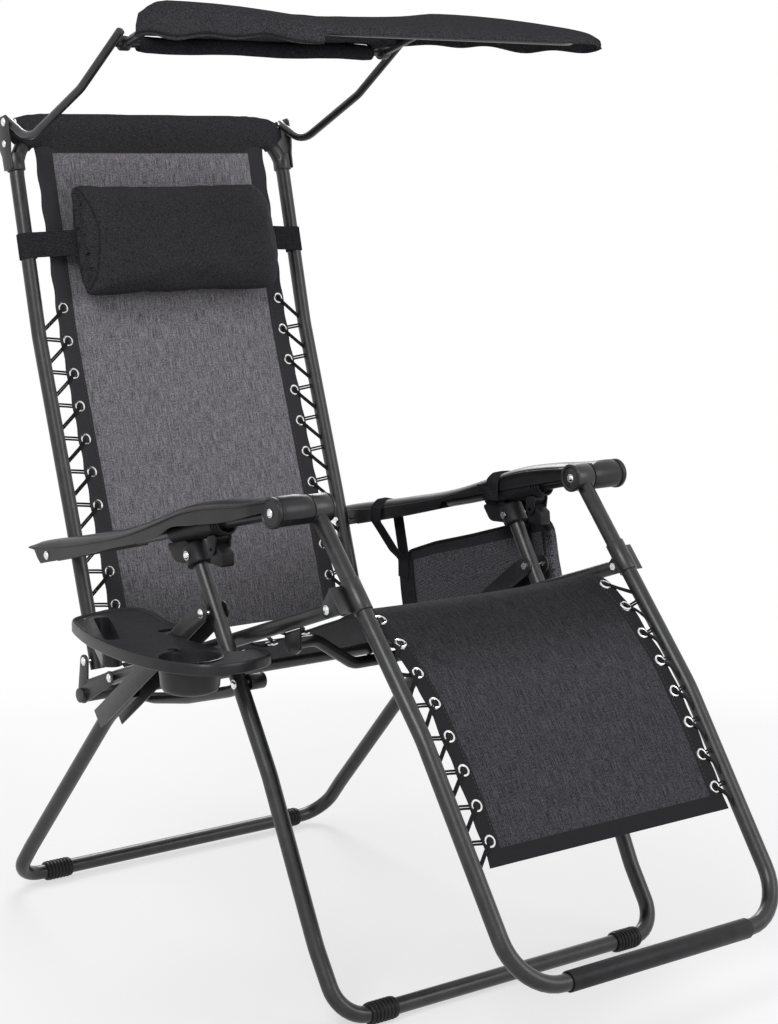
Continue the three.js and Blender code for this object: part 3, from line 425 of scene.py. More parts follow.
def baked(obj):
    """Applies an object's modifiers to its mesh."""
    depsgraph = bpy.context.evaluated_depsgraph_get()
    mesh = bpy.data.meshes.new_from_object(obj.evaluated_get(depsgraph))
    obj.modifiers.clear()
    obj.data = mesh
    return obj


def round_edges(obj, width, angle=40):
    """Bevels every edge that turns by more than an angle; width is in millimetres."""
    edges = obj.modifiers.new("edges", "BEVEL")
    edges.width, edges.segments, edges.limit_method = width / 1000, 2, "ANGLE"
    edges.angle_limit = math.radians(angle)
    return baked(obj)


def set_uv(mesh, uv):
    layer = mesh.uv_layers.new(name="cloth")
    for loop in mesh.loops:
        layer.data[loop.index].uv = uv[loop.vertex_index]


def new_piece(name, shell, look, body, replaces=(), uv=None, bevel=0.0, slot=None):
    """A mesh object from vertices and faces that rides on a body and stands for its nodes."""
    obj = add_object(name, *shell)
    if uv is not None:
        set_uv(obj.data, uv)
    obj.data.materials.append(look.material)
    outward(obj.data)
    if bevel:
        round_edges(obj, bevel)
    finish_edges(obj)
    return settle(obj, body, replaces, slot)


def settle(obj, body, replaces, slot=None):
    """Ties a finished piece to its body and hides the solids it stands for."""
    replaces = (replaces,) if isinstance(replaces, str) else tuple(replaces)
    if body:
        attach(obj, body)
    slot = slot or (SLOT_OF[replaces[0]] if replaces else None)
    if replaces:
        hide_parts(*replaces)
    return obj


def joined(*shells):
    """Several shells as one."""
    verts, faces = [], []
    for some_verts, some_faces in shells:
        base = len(verts)
        verts += list(some_verts)
        faces += [tuple(i + base for i in face) for face in some_faces]
    return verts, faces


def ring_shell(rings, closed=False):
    """Joins rings of equal length into a skin; open rows of rings get end caps."""
    count, sides = len(rings), len(rings[0])
    verts = [p for ring in rings for p in ring]
    faces = []
    for i in range(count if closed else count - 1):
        for k in range(sides):
            a, b = i * sides + k, i * sides + (k + 1) % sides
            c, d = ((i + 1) % count) * sides + (k + 1) % sides, ((i + 1) % count) * sides + k
            faces.append((a, b, c, d))
    if not closed:
        faces.append(tuple(range(sides))[::-1])
        faces.append(tuple(range((count - 1) * sides, count * sides)))
    return verts, faces


BEND_STEP = math.radians(9)


def bent_line(points, bends):
    """Points along straight runs joined by round bends."""
    pts = [Vector(p) for p in points]
    line = [pts[0]]
    for i in range(1, len(pts) - 1):
        into, out = (pts[i] - pts[i - 1]).normalized(), (pts[i + 1] - pts[i]).normalized()
        angle = into.angle(out)
        bend = (bends[i - 1] if isinstance(bends, (list, tuple)) else bends) / 1000
        if angle < 1e-4:
            continue
        axis = into.cross(out).normalized()
        start = pts[i] - into * bend * math.tan(angle / 2)
        centre = start + axis.cross(into).normalized() * bend
        count = max(2, round(angle / BEND_STEP))
        for k in range(count + 1):
            line.append(centre + Matrix.Rotation(angle * k / count, 3, axis) @ (start - centre))
    return line + [pts[-1]]


def directions(line):
    """The way at each point of a line, halfway between the runs on both sides."""
    ways = []
    for i, p in enumerate(line):
        before = (p - line[i - 1]).normalized() if i else Vector()
        after = (line[i + 1] - p).normalized() if i < len(line) - 1 else Vector()
        ways.append((before + after).normalized())
    return ways


def circle(centre, u, v, radius, sides, turn=0.0):
    """Points round a centre in the plane of u and v; the radius is in millimetres."""
    angles = (2 * math.pi * (k + turn) / sides for k in range(sides))
    return [centre + (u * math.cos(a) + v * math.sin(a)) * (radius / 1000) for a in angles]


def tube_shell(line, thickness, sides=24, taper=None):
    """A round tube along a line, closed at both ends; thickness is its radius in mm."""
    line = [Vector(p) for p in line]
    ways = directions(line)
    side = ways[0].orthogonal().normalized()
    rings = []
    for i, p in enumerate(line):
        if i:
            side = ways[i - 1].rotation_difference(ways[i]) @ side
            side = (side - ways[i] * side.dot(ways[i])).normalized()
        radius = thickness * (taper[i] if taper else 1)
        rings.append(circle(p, side, ways[i].cross(side), radius, sides))
    return ring_shell(rings)


def side_line(route, x):
    return [at(x, y, z) for y, z in route]


def loop_line(route, x, bends, corner):
    """A frame that runs down the right side, across and up the left side."""
    inner = [bends] * (len(route) - 2)
    return bent_line(side_line(route, -x) + side_line(route, x)[::-1], [*inner, corner, corner, *inner])


def disc_shell(where, thickness, x0, x1, sides=24):
    """A round bar across the chair."""
    return ring_shell([circle(at(x, *where), Y, Z, thickness, sides, 0.5) for x in (x0, x1)])


def plate_shell(outline, x0, x1):
    """A side view outline made solid between two x planes."""
    return ring_shell([[at(x, y, z) for y, z in outline] for x in (x0, x1)])


def rounded_link(discs):
    """The convex outline round several discs of twenty sides, for links and ears."""
    points = sorted({
        (round(c[0] + r * math.cos(a), 4), round(c[1] + r * math.sin(a), 4))
        for c, r in discs for a in (2 * math.pi * k / 20 for k in range(20))
    })
    return [points[i] for i in convex_hull_2d(points)]


def lathe_shell(profile, where, sign=1):
    """A closed profile of (x, radius) turned about an axis across the chair; sign mirrors x."""
    return ring_shell([circle(at(sign * x, *where), Y, Z, r, 40) for x, r in profile], closed=True)


def turned_shell(profile, start, way, x, closed=False):
    """A profile of (distance along way, radius) turned about a side view line."""
    other = Vector((0, *across(way)))
    rings = [circle(at(x, *plus(start, way, reach)), X, other, r, 36) for reach, r in profile]
    return ring_shell(rings, closed)


def flowing(keys, values):
    """A smooth function through values at rising keys."""
    keys, values = np.array(keys, float), np.array(values, float)
    slopes = np.gradient(values, keys)

    def value(key):
        key = min(max(key, keys[0]), keys[-1])
        i = int(min(max(np.searchsorted(keys, key) - 1, 0), len(keys) - 2))
        gap = keys[i + 1] - keys[i]
        t = (key - keys[i]) / gap
        return float(
            (2 * t**3 - 3 * t**2 + 1) * values[i] + (t**3 - 2 * t**2 + t) * gap * slopes[i]
            + (3 * t**2 - 2 * t**3) * values[i + 1] + (t**3 - t**2) * gap * slopes[i + 1]
        )

    return value


print("mesh helpers are ready")

# %% [markdown]
# Small parts that repeat are made by Geometry Nodes: one tree draws a single eyelet,
# stitch, rib or bolt from named sizes and sets it at every marked point, turned by two
# vectors that the points carry. The result is baked to a plain mesh.

# %% Repeats by Geometry Nodes
def eyelet_unit(g, size):
    ring = g.add("GeometryNodeCurvePrimitiveCircle", {}, {"Resolution": 20, "Radius": size["Ring"]})
    wire = g.add("GeometryNodeCurvePrimitiveCircle", {}, {"Resolution": 8, "Radius": size["Wire"]})
    sockets = {"Curve": ring, "Profile Curve": wire}
    return g.add("GeometryNodeCurveToMesh", {}, sockets)


def stitch_unit(g, size):
    bead = g.add("GeometryNodeMeshUVSphere", {}, {"Segments": 6, "Rings": 4, "Radius": 1.0})
    scale = g.add("ShaderNodeCombineXYZ", {}, {"X": size["Length"], "Y": size["Width"], "Z": size["Width"]})
    sockets = {"Geometry": bead, "Scale": scale}
    return g.add("GeometryNodeTransform", {}, sockets)


WASHER = 0.0004


def bolt_unit(g, size):
    """A domed head on a washer, its shank, and a nut at the far end of its grip."""
    dome = g.add("GeometryNodeMeshUVSphere", {}, {"Segments": 20, "Rings": 10, "Radius": 1.0})
    scale = g.add("ShaderNodeCombineXYZ", {}, {"X": size["Head"], "Y": size["Head"], "Z": size["Dome"]})
    parts = [g.add("GeometryNodeTransform", {}, {"Geometry": dome, "Scale": scale})]

    def cylinder(sides, radius, depth, middle):
        sockets = {"Vertices": sides, "Radius": radius, "Depth": depth}
        made = g.add("GeometryNodeMeshCylinder", {}, sockets)
        move = g.add("ShaderNodeCombineXYZ", {}, {"Z": middle})
        sockets = {"Geometry": made, "Translation": move}
        parts.append(g.add("GeometryNodeTransform", {}, sockets))

    cylinder(20, size["Head"] * 1.12, size["Washer"], size["Washer"] * -0.5 + WASHER)
    cylinder(12, size["Shank"], size["Grip"], size["Grip"] * -0.5)
    cylinder(6, size["Nut"], size["Nut depth"], (size["Grip"] + size["Nut depth"] * 0.5) * -1)
    both = g.add("GeometryNodeJoinGeometry", {}, {})
    for part in reversed(parts):
        part.feed(both.node.inputs[0])
    return both


def repeated(name, marks, unit_maker, sizes, look, body, replaces=(), slot=None):
    """One unit at each mark: a mark is (place, way its top points, way its length runs)."""
    obj = add_object(name, [m[0] for m in marks], [])
    for key, index in (("facing", 1), ("running", 2)):
        values = obj.data.attributes.new(key, "FLOAT_VECTOR", "POINT")
        values.data.foreach_set("vector", [c for m in marks for c in m[index]])
    g = Nodes(bpy.data.node_groups.new(name, "GeometryNodeTree"))
    faces = g.tree.interface
    faces.new_socket("Marks", in_out="INPUT", socket_type="NodeSocketGeometry")
    faces.new_socket("Pieces", in_out="OUTPUT", socket_type="NodeSocketGeometry")
    names = {}
    for key in sizes:
        names[key] = faces.new_socket(key, in_out="INPUT", socket_type="NodeSocketFloat").identifier
    given = g.add("NodeGroupInput", {}, {})
    rotation = None
    for axis, key in (("Z", "facing"), ("X", "running")):
        vector = g.add("GeometryNodeInputNamedAttribute", {"data_type": "FLOAT_VECTOR"}, {"Name": key})
        sockets = {"Vector": vector.out("Attribute")}
        settings = {"axis": axis}
        if rotation:
            sockets["Rotation"], settings["pivot_axis"] = rotation, "Z"
        rotation = g.add("FunctionNodeAlignRotationToVector", settings, sockets)
    one = unit_maker(g, {key: given.out(key) for key in sizes})
    sockets = {"Points": given.out("Marks"), "Instance": one, "Rotation": rotation}
    placed = g.add("GeometryNodeInstanceOnPoints", {}, sockets)
    real = g.add("GeometryNodeRealizeInstances", {}, {"Geometry": placed})
    finish = g.add("GeometryNodeSetMaterial", {}, {"Geometry": real, "Material": look.material})
    g.add("NodeGroupOutput", {}, {"Pieces": finish})
    repeat = obj.modifiers.new("repeat", "NODES")
    repeat.node_group = g.tree
    for key, value in sizes.items():
        repeat[names[key]] = value
    baked(obj)
    outward(obj.data)
    finish_edges(obj, 35)
    return settle(obj, body, replaces, slot)


def bolts(name, marks, body, sizes, replaces=()):
    """Bolts at marks; sizes are head, dome, shank, grip, nut and nut depth in millimetres."""
    keys = ("Head", "Dome", "Shank", "Grip", "Nut", "Nut depth")
    metres = {key: value / 1000 for key, value in zip(keys, sizes)}
    sizes = {**metres, "Washer": WASHER}
    repeated(name, marks, bolt_unit, sizes, steel, body, replaces, "bright_steel")


def on_both_sides(x, where, out=1):
    """A mark on each side of the chair that faces away from its middle, or with -1 towards it."""
    return [(at(sign * x, *where), (sign * out, 0, 0), (0, 1, 0)) for sign in SIGNS]


print("repeat helper is ready")

# %% [markdown]
# The routes of the tubes, as side view places. The real frames are round steel tube drawn
# round formers, so each is one smooth sweep with the same bends as its solid.

# %% Routes
FRAME_TUBE, RAIL_TUBE, LINK_TUBE, CANOPY_TUBE = 11, 10, 8, 6.3
BACK_X, RAIL_X, LEGREST_X, FRONT_X, REAR_X, SEAT_ARM_X, CANOPY_X = (
    246.8, 254.6, 235.3, 285.5, 296, 258, 251.5
)
SEAT_REAR, BACK_FOOT, REAR_TUBE, KNEE = (124, 363), (192, 376), (197, 325), (-384, 538.4)
ARM_REAR, ARM_FRONT, CLAMP, ARM_ON_LEG = (238, 530), (-319.5, 658), (-126, 578), (-222, 418)
LEG_PIVOT, CANOPY_PIVOT, CANOPY_BAR = (-166, 506), (400, 1155), (117, 1261)
FRONT_LEG = [(-119.6, 588), (-285, 306), (-383, 99), (-435, 15.2)]
REAR_LEG = [(20, 367.4), (85, 319), (306, 75), (356, 15.2)]
BACK_UP = [(252, 577), (334.5, 840), (405, 1148)]
LEGREST = [(-536, 395), (-717, 118)]
back_way = unit(minus(BACK_UP[0], BACK_FOOT))
BACK_LINE = [plus(BACK_FOOT, back_way, -14), *BACK_UP]
RAIL_WAY = unit(minus(KNEE, SEAT_REAR))
UPPER = unit(minus(BACK_UP[2], BACK_UP[1]))
ARM_WAY = unit(minus(ARM_FRONT, ARM_REAR))
ARM_DOWN = across(ARM_WAY)


def arm_line(y, above=0.0):
    """The height of the armrest tube's axis at a depth y, with a rise above it."""
    return ARM_REAR[1] + (y - ARM_REAR[0]) * ARM_WAY[1] / ARM_WAY[0] + above

# %% [markdown]
# Each frame is one bent tube, and the straight rails and links come in pairs.

# %% Frames
EASY, LEG_CORNER, BACK_CORNER, LEGREST_CORNER = 160, 46, 74, 70
for name, route, x, corner, body, node in (
    ("front_legs", FRONT_LEG, FRONT_X, LEG_CORNER, "base", "front_leg_frame"),
    ("rear_legs_tube", REAR_LEG, REAR_X, LEG_CORNER, "rear_legs", "rear_leg_frame"),
    ("back_tube", BACK_LINE, BACK_X, BACK_CORNER, "back", "back_frame"),
):
    new_piece(name, tube_shell(loop_line(route, x, EASY, corner), FRAME_TUBE), paint, body, node)
TUBE_REAR_Y, TUBE_FRONT_RUN, LUG_FROM, LUG_TO = 18, -19.3, 244.0, 241.0
rail = [plus(SEAT_REAR, RAIL_WAY, -13), plus(KNEE, RAIL_WAY, 9)]
arm = [(404, 1157.5), (345, 1128), (200, 1200), (95, 1276)]
under_arm = [(TUBE_REAR_Y, arm_line(TUBE_REAR_Y)), plus(ARM_FRONT, ARM_WAY, TUBE_FRONT_RUN)]
link = [ARM_ON_LEG, (-159, 392), (-59, 365), (25, 350), (85, 348)]
lug = rounded_link([(link[-1], LINK_TUBE), (SEAT_REAR, 11)])
for side, sign in SIDES:
    new_piece(f"seat_rail_tube_{side}", tube_shell(side_line(rail, sign * RAIL_X), RAIL_TUBE),
              paint, "seat", f"seat_rail_{side}", bevel=0.8)
    arm_run = bent_line(side_line(arm, sign * CANOPY_X), 60)
    new_piece(f"canopy_arm_tube_{side}", tube_shell(arm_run, CANOPY_TUBE, 20),
              paint, "canopy_arms", f"canopy_arm_{side}", bevel=0.8)
    new_piece(f"under_arm_tube_{side}", tube_shell(side_line(under_arm, sign * FRONT_X), LINK_TUBE),
              paint, f"armrest_{side}", f"armrest_tube_{side}", bevel=0.6)
    new_piece(f"seat_link_{side}", joined(
        tube_shell(bent_line(side_line(link, sign * SEAT_ARM_X), 80), LINK_TUBE, 20),
        disc_shell(ARM_ON_LEG, 11, sign * 273.9, sign * 250),
        disc_shell(link[-1], LINK_TUBE, sign * SEAT_ARM_X, sign * LUG_TO, 20),
        plate_shell(lug, sign * LUG_FROM, sign * LUG_TO),
    ), paint, "base", f"seat_arm_{side}", bevel=0.5)
new_piece("canopy_cross_bar", disc_shell(CANOPY_BAR, CANOPY_TUBE, -244.9, 244.9), paint,
          "canopy_arms", "canopy_bar", bevel=0.6)
print("tubes are swept")

# %% [markdown]
# The welded frames: plates and lugs with rounded corners are welded to the tubes. They are
# separate closed shells in one mesh, so the weld lines stay crisp.

# %% Welded frames
HINGE_FROM, HINGE_FACE = 265.8, 268.8
ears = [rounded_link([(end, 10), (REAR_TUBE, 12.5)]) for end in (SEAT_REAR, BACK_FOOT)]
ears.append(rounded_link([(SEAT_REAR, 9), (plus(REAR_TUBE, (0, 12)), 8), (REAR_TUBE, 9)]))
new_piece("seat_cross_tube", joined(
    disc_shell(REAR_TUBE, FRAME_TUBE, -HINGE_FACE - 5, HINGE_FACE + 5),
    *(plate_shell(ear, sign * HINGE_FROM, sign * (HINGE_FACE - 0.02 * k))
      for sign in SIGNS for k, ear in enumerate(ears)),
), paint, "seat", "seat_rear_tube", bevel=0.6)

BAR_Y, BAR_Z, BAR_LOW, BAR_OUT = -290, 478, 438, 250.6
dropped = [(-BAR_OUT, BAR_Z), (-BAR_OUT + 38, BAR_Z), (-BAR_OUT + 100, BAR_LOW)]
dropped += [(-x, z) for x, z in dropped[::-1]]


def under_rail(dy):
    """The underside of the seat rail at a depth beside the dropped bar."""
    slope = RAIL_WAY[1] / RAIL_WAY[0]
    return (BAR_Y + dy, SEAT_REAR[1] + slope * (BAR_Y + dy - SEAT_REAR[0]) - 10.3 / abs(RAIL_WAY[0]))


hanger = [under_rail(-16), *((BAR_Y + y, BAR_Z - z) for y, z in ((-16, 6.5), (-8, 13), (8, 13), (16, 6.5))),
          under_rail(16)]
new_piece("dropped_bar", joined(
    tube_shell(bent_line([at(x, BAR_Y, z) for x, z in dropped], 30), LINK_TUBE, 20),
    *(plate_shell(hanger, sign * (BAR_OUT - 3), sign * (BAR_OUT + 1.5)) for sign in SIGNS),
), paint, "seat", "seat_front_bar", bevel=0.5)

leg_way = unit(minus(LEGREST[0], ARM_FRONT))
knee_rel = minus(KNEE, ARM_FRONT)
knee_run = knee_rel[0] * leg_way[0] + knee_rel[1] * leg_way[1]
knee_foot = plus(ARM_FRONT, leg_way, knee_run)
knee_gap = math.hypot(*minus(knee_foot, KNEE))
knee_reach = unit(minus(knee_foot, KNEE))


def by_knee(reach, drop):
    """A side view point from the knee bolt towards the legrest tube, and down along it."""
    return plus(plus(KNEE, knee_reach, reach), leg_way, drop)


KNEE_IN, KNEE_OUT, KNEE_SLEEVE = 244.0, 265.2, 12.9
knee_web, knee_edge = knee_gap - 12, knee_gap - 4
knee_tongue = rounded_link([(KNEE, 11), (by_knee(knee_web + 1, -14), 2), (by_knee(knee_web + 1, 14), 2)])
knee_flare = [by_knee(*p) for p in ((knee_web, -15), (knee_edge, -20), (knee_edge, 20), (knee_web, 15))]
leg_shells = [tube_shell(loop_line([ARM_FRONT, *LEGREST], LEGREST_X, 220, LEGREST_CORNER), FRAME_TUBE)]
for sign in SIGNS:
    knee_sleeve = [at(sign * LEGREST_X, *plus(knee_foot, leg_way, run)) for run in (-23, 23)]
    leg_shells += [
        plate_shell(knee_tongue, sign * KNEE_IN, sign * (KNEE_IN - 3)),
        plate_shell(knee_tongue, sign * KNEE_OUT, sign * (KNEE_OUT + 3)),
        plate_shell(knee_flare, sign * (KNEE_IN - 3), sign * (KNEE_OUT + 2.8)),
        tube_shell(knee_sleeve, KNEE_SLEEVE, 36),
        disc_shell(ARM_FRONT, 19, sign * 217, sign * 247.6, 32),
        disc_shell(ARM_FRONT, 8, sign * 222, sign * 298, 20),
    ]
new_piece("legrest_tube", joined(*leg_shells), paint, "legrest", "leg_frame", bevel=0.7)

eye = plus(CANOPY_BAR, (-5.5, 0))
canopy_rail = loop_line([eye, (40, 1283), (-20, 1301.8), (-322, 1260.9)], 232, 80, 50)
new_piece("canopy_rails", joined(
    tube_shell(canopy_rail, CANOPY_TUBE, 20),
    *(disc_shell(CANOPY_BAR, 11, sign * 225.7, sign * 238.3) for sign in SIGNS),
), paint, "canopy", "canopy_frame", bevel=0.5)
print("welded frames are made")

# %% [markdown]
# Bolts: bright domed heads on washers outside, hex nuts inside. One tree draws a bolt and
# sets it on both sides of the chair; its grip is the thickness it clamps.

# %% Bolts
BOLTS = [
    ("leg_pivot_bolt", "base", LEG_PIVOT, 309.6, 271.9, 1.6),
    ("seat_arm_bolt", "base", ARM_ON_LEG, 296.8, 249.7, 3),
    ("clamp_bolt", "base", CLAMP, 304.0, 267.0, 3),
    ("seat_pivot_bolt", "seat", SEAT_REAR, 269.1, 240.7, 3),
    ("back_pivot_bolt", "back", BACK_FOOT, 269.1, 235.5, 3),
    ("armrest_bolt", "back", ARM_REAR, 300.3, 235.5, 3),
    ("canopy_bolt", "back", CANOPY_PIVOT, 261.4, 244.9, 3),
    ("knee_bolt", "legrest", KNEE, 268.5, 240.7, 3),
]
SCREW = (5.2, 2.4, 2, 3, 2, 0.5)
for node, body, where, outside, inside, nut in BOLTS:
    bolts(node + "s", on_both_sides(outside, where), body, (5.6, 3, 3, outside - inside, 5.5, nut),
          [f"{node}_{side}" for side, _ in SIDES])
for (side, _), mark in zip(SIDES, on_both_sides(308.2, ARM_FRONT)):
    bolts(f"barrel_screw_{side}", [mark], f"armrest_{side}", SCREW)
print("bolts", len(BOLTS) * 2 + 2)

# %% [markdown]
# Foot collars: a plastic sleeve round each floor bar, with raised ribs that grip the floor.

# %% Foot collars
COLLAR_X, COLLAR_HALF, COLLAR_BORE, RIB_PITCH = 221, 22, 11.2, 6
COLLAR_END = [(0, COLLAR_BORE), (0, 13), (1, 14), (3, 14.6), (5, 13.6)]
for name, body, where in (("front_foot", "base", FRONT_LEG[-1]), ("rear_foot", "rear_legs", REAR_LEG[-1])):
    profile = [(COLLAR_X - COLLAR_HALF + x, r) for x, r in COLLAR_END]
    profile += [(COLLAR_X + COLLAR_HALF - x, r) for x, r in COLLAR_END[::-1]]
    for side, sign in SIDES:
        new_piece(f"{name}_collar_{side}", lathe_shell(profile, where, sign), plastic, body,
                  f"{name}_{side}")
    places = [COLLAR_X - 15 + RIB_PITCH * k for k in range(6)]
    marks = [(at(sign * x, *where), (1, 0, 0), (0, 1, 0)) for x in places for sign in SIGNS]
    repeated(f"{name}_ribs", marks, eyelet_unit, {"Ring": 0.01345, "Wire": 0.00172}, plastic, body,
             slot="black_plastic")
print("collars are ribbed")

# %% [markdown]
# The rear leg channels' solids already have the right form. A copy of each, merged,
# bevelled and smooth shaded, stands for it. The foot bar's sleeve is turned beside them.

# %% Rounded solids
def dressed(node, body):
    """A copy of a solid with its flat faces merged and its edges rounded, to stand for it."""
    mesh = NODES[node].data.copy()
    bm = bmesh.new()
    bm.from_mesh(mesh)
    bmesh.ops.remove_doubles(bm, verts=bm.verts, dist=2e-5)
    bmesh.ops.dissolve_limit(bm, angle_limit=math.radians(0.8), verts=bm.verts, edges=bm.edges)
    bm.to_mesh(mesh)
    bm.free()
    obj = bpy.data.objects.new("dressed_" + node, mesh)
    scene.collection.objects.link(obj)
    round_edges(obj, 0.7, 45)
    finish_edges(obj, 42)
    return settle(obj, body, node)


for side, _ in SIDES:
    dressed(f"rear_leg_channel_{side}", "rear_legs")
sleeve_end = [(159, 11.6), (159, 13), (158, 13.5)]
foot_sleeve = [(-x, r) for x, r in sleeve_end] + sleeve_end[::-1]
new_piece("foot_bar_sleeve", lathe_shell(foot_sleeve, LEGREST[-1]), plastic, "legrest", "foot_sleeve")
print("solids are rounded")

# %% [markdown]
# Each armrest tube slides in a clamp on top of its front leg: an open saddle, a barrel
# round the leg's end, a rounded cheek behind it, and a lever between two ears that locks it.
# Folded brackets carry the canopy's pivots on the back tubes.

# %% Clamps, levers and canopy brackets
SADDLE, LEVER = (CLAMP[0], arm_line(CLAMP[0])), (-176, 592)
SADDLE_OUT, SADDLE_IN, SADDLE_REST, SADDLE_STEPS = 16.5, 13.0, math.asin(4 / 14.5), 20


def by_saddle(reach, down):
    """A side view point along the armrest tube from the saddle's middle and a depth below."""
    return plus(plus(SADDLE, ARM_WAY, reach), ARM_DOWN, down)


def saddle_shell(sign):
    """An open half pipe along the armrest tube, from wall to wall round its lower side."""
    turns = [math.pi * k / SADDLE_STEPS + SADDLE_REST * (2 * k / SADDLE_STEPS - 1)
             for k in range(SADDLE_STEPS + 1)]
    section = [(r * math.cos(a), r * math.sin(a))
               for r, order in ((SADDLE_OUT, 1), (SADDLE_IN, -1)) for a in turns[::order]]
    return ring_shell([[at(sign * (FRONT_X + x), *by_saddle(reach, down)) for x, down in section]
                       for reach in (-50, -47, 51, 54)])


def both_ways(sign, middle, half):
    """The two x planes of a plate, set about a middle on one side of the chair."""
    return sign * (middle - half), sign * (middle + half)


BARREL = [(-15, 16.6), (-14, 18), (-8, 18.2), (-6, 17.6), (12, 17.8), (15, 16)]
CHEEK = rounded_link([(CLAMP, 13), (by_saddle(-57, 17.5), 3.6), (by_saddle(-20, 17.5), 3.6),
                      (by_saddle(-42, 28), 13)])
EAR = rounded_link([(by_saddle(43, 18.6), 5), (by_saddle(54, 17.6), 4), (LEVER, 8)])
WEB = rounded_link([(by_saddle(44, 18), 4), (by_saddle(52, 18), 4), (by_saddle(47, 22), 4)])
PADDLE = rounded_link([(LEVER, 8), (plus(LEVER, (-16, -5)), 3.8), (plus(LEVER, (3, -16)), 4),
                       (plus(LEVER, (-17, -18)), 4)])
SLEEVE = [(42, 12.2), (42, 13.4), (43, 13.9), (67, 13.9), (68, 13.4), (68, 12.2)]
PLATE = [(44, -11), (66, -12), (78, -17), (88, -19), (119, -19), (124, -15), (124, 13), (119, 17), (88, 17),
         (78, 15), (66, 12), (44, 11)]
leg_top = unit(minus(FRONT_LEG[0], FRONT_LEG[1]))
bracket_low = plus(BACK_UP[2], UPPER, (1042 - BACK_UP[2][1]) / UPPER[1])
bracket_plate = [plus(plus(bracket_low, UPPER, up), across(UPPER), out) for up, out in PLATE]
for side, sign in SIDES:
    shells = [
        turned_shell(BARREL, CLAMP, leg_top, sign * FRONT_X),
        saddle_shell(sign),
        plate_shell(CHEEK, *both_ways(sign, FRONT_X, 10)),
        *(plate_shell(EAR, *both_ways(sign, FRONT_X + ear, 1.5)) for ear in (-12.1, 12.1)),
        disc_shell(LEVER, 3, *both_ways(sign, FRONT_X, 13.6), 16),
        plate_shell(WEB, *both_ways(sign, FRONT_X, 12)),
    ]
    for reach in (58, 64, 70):
        arc = [(15 * math.sin(a), 15 * math.cos(a)) for a in map(math.radians, range(-100, 101, 20))]
        rib = [at(sign * (FRONT_X + x), *by_saddle(reach, down)) for x, down in arc]
        shells.append(tube_shell(rib, 2.1, 8))
    shells.append(tube_shell([at(sign * FRONT_X, *by_saddle(reach, 15)) for reach in (50, 71)], 1.9, 8))
    new_piece(f"clamp_body_{side}", joined(*shells), plastic, f"clamp_{side}", f"arm_clamp_{side}", bevel=0.9)
    new_piece(f"lever_paddle_{side}", plate_shell(PADDLE, *both_ways(sign, FRONT_X, 10)),
              plastic, f"lever_{side}", f"lock_lever_{side}", bevel=1.6)
    new_piece(f"top_bracket_{side}", joined(
        turned_shell(SLEEVE, bracket_low, UPPER, sign * BACK_X, closed=True),
        plate_shell(bracket_plate, *both_ways(sign, 259.6, 1.5)),
    ), paint, "back", f"canopy_bracket_{side}", bevel=0.8)
bolts("bracket_rivets", on_both_sides(261.3, plus(bracket_low, UPPER, 83)), "back",
      (4.6, 2.4, 2, 2.8, 2, 0.3))
print("clamps, levers and brackets are made")

# %% [markdown]
# The slings are woven mesh with sewn hems. Each is one closed sheet on a grid: x across, arc
# length along, thin in the open mesh and thicker where the hem is folded. Its edge waves a
# little between eyelets, because the cord pulls only there. The seat and the legrest
# share one sheet that runs on over the knee.

# %% Sling routes
HALF, EYELET_X = 212, 200
BACK_CLOTH = [(196.6, 393), (252, 577), (334.5, 840), (399, 1122)]
SEAT_CLOTH = [(183, 366), (140, 350), (80, 365), (-150, 444), (-340, 513), (-371, 530)]
LEG_CLOTH = [(-396, 527), (-448, 496), (-516, 429.5), (-570, 355), (-618, 278), (-634, 250)]
EYELETS = {
    "back": (BACK_CLOTH, 10, 57.4, 50.2), "seat": (SEAT_CLOTH, 5, 150, 76), "leg": (LEG_CLOTH, 8, 14, 46.4),
}


def along(route, distance):
    """The point at a distance along a route, and the way there."""
    for i in range(1, len(route)):
        step = minus(route[i], route[i - 1])
        length = math.hypot(*step)
        if distance <= length or i == len(route) - 1:
            return plus(route[i - 1], unit(step), distance), unit(step)
        distance -= length


def eyelet_places(name):
    route, count, first, pitch = EYELETS[name]
    return [along(route, first + i * pitch) for i in range(count)]


def evenly(line, step=0.008):
    """Points at equal steps along a line, with the way there and the length so far."""
    line = [Vector(p) for p in line]
    lengths = [0.0]
    for a, b in zip(line, line[1:]):
        lengths.append(lengths[-1] + (b - a).length)
    total = lengths[-1]
    count = max(2, round(total / step))
    places = [Vector([float(np.interp(total * k / count, lengths, [p[i] for p in line])) for i in range(3)])
              for k in range(count + 1)]
    return [(p, way, total * k / count) for k, (p, way) in enumerate(zip(places, directions(places)))]


def sheet_shell(rows, columns, place):
    """A closed thin sheet: place(column, row index, face) gives a point, face is +1 or -1."""
    width, count = len(columns), len(rows)
    verts, uv = [], []
    for face in (1, -1):
        for j in range(count):
            for c in columns:
                point, coords = place(c, j, face)
                verts.append(point)
                uv.append(coords)
    under = width * count
    faces = []
    for j in range(count - 1):
        for i in range(width - 1):
            a = j * width + i
            quad = (a, a + 1, a + 1 + width, a + width)
            faces += [quad, tuple(k + under for k in quad[::-1])]
    rim = [(j * width, (j + 1) * width) for j in range(count - 1)]
    rim += [((j + 1) * width + width - 1, j * width + width - 1) for j in range(count - 1)]
    rim += [(i + 1, i) for i in range(width - 1)]
    rim += [((count - 1) * width + i, (count - 1) * width + i + 1) for i in range(width - 1)]
    faces += [(a, b, b + under, a + under) for a, b in rim]
    return (verts, faces), uv


EDGE_RISE, EDGE_PULL, PULL_SHARPNESS = 0.008, 2.2, 6
CLOTH_THIN, CLOTH_HEM, CLOTH_EDGE = 1.1, 2.4, 1.2


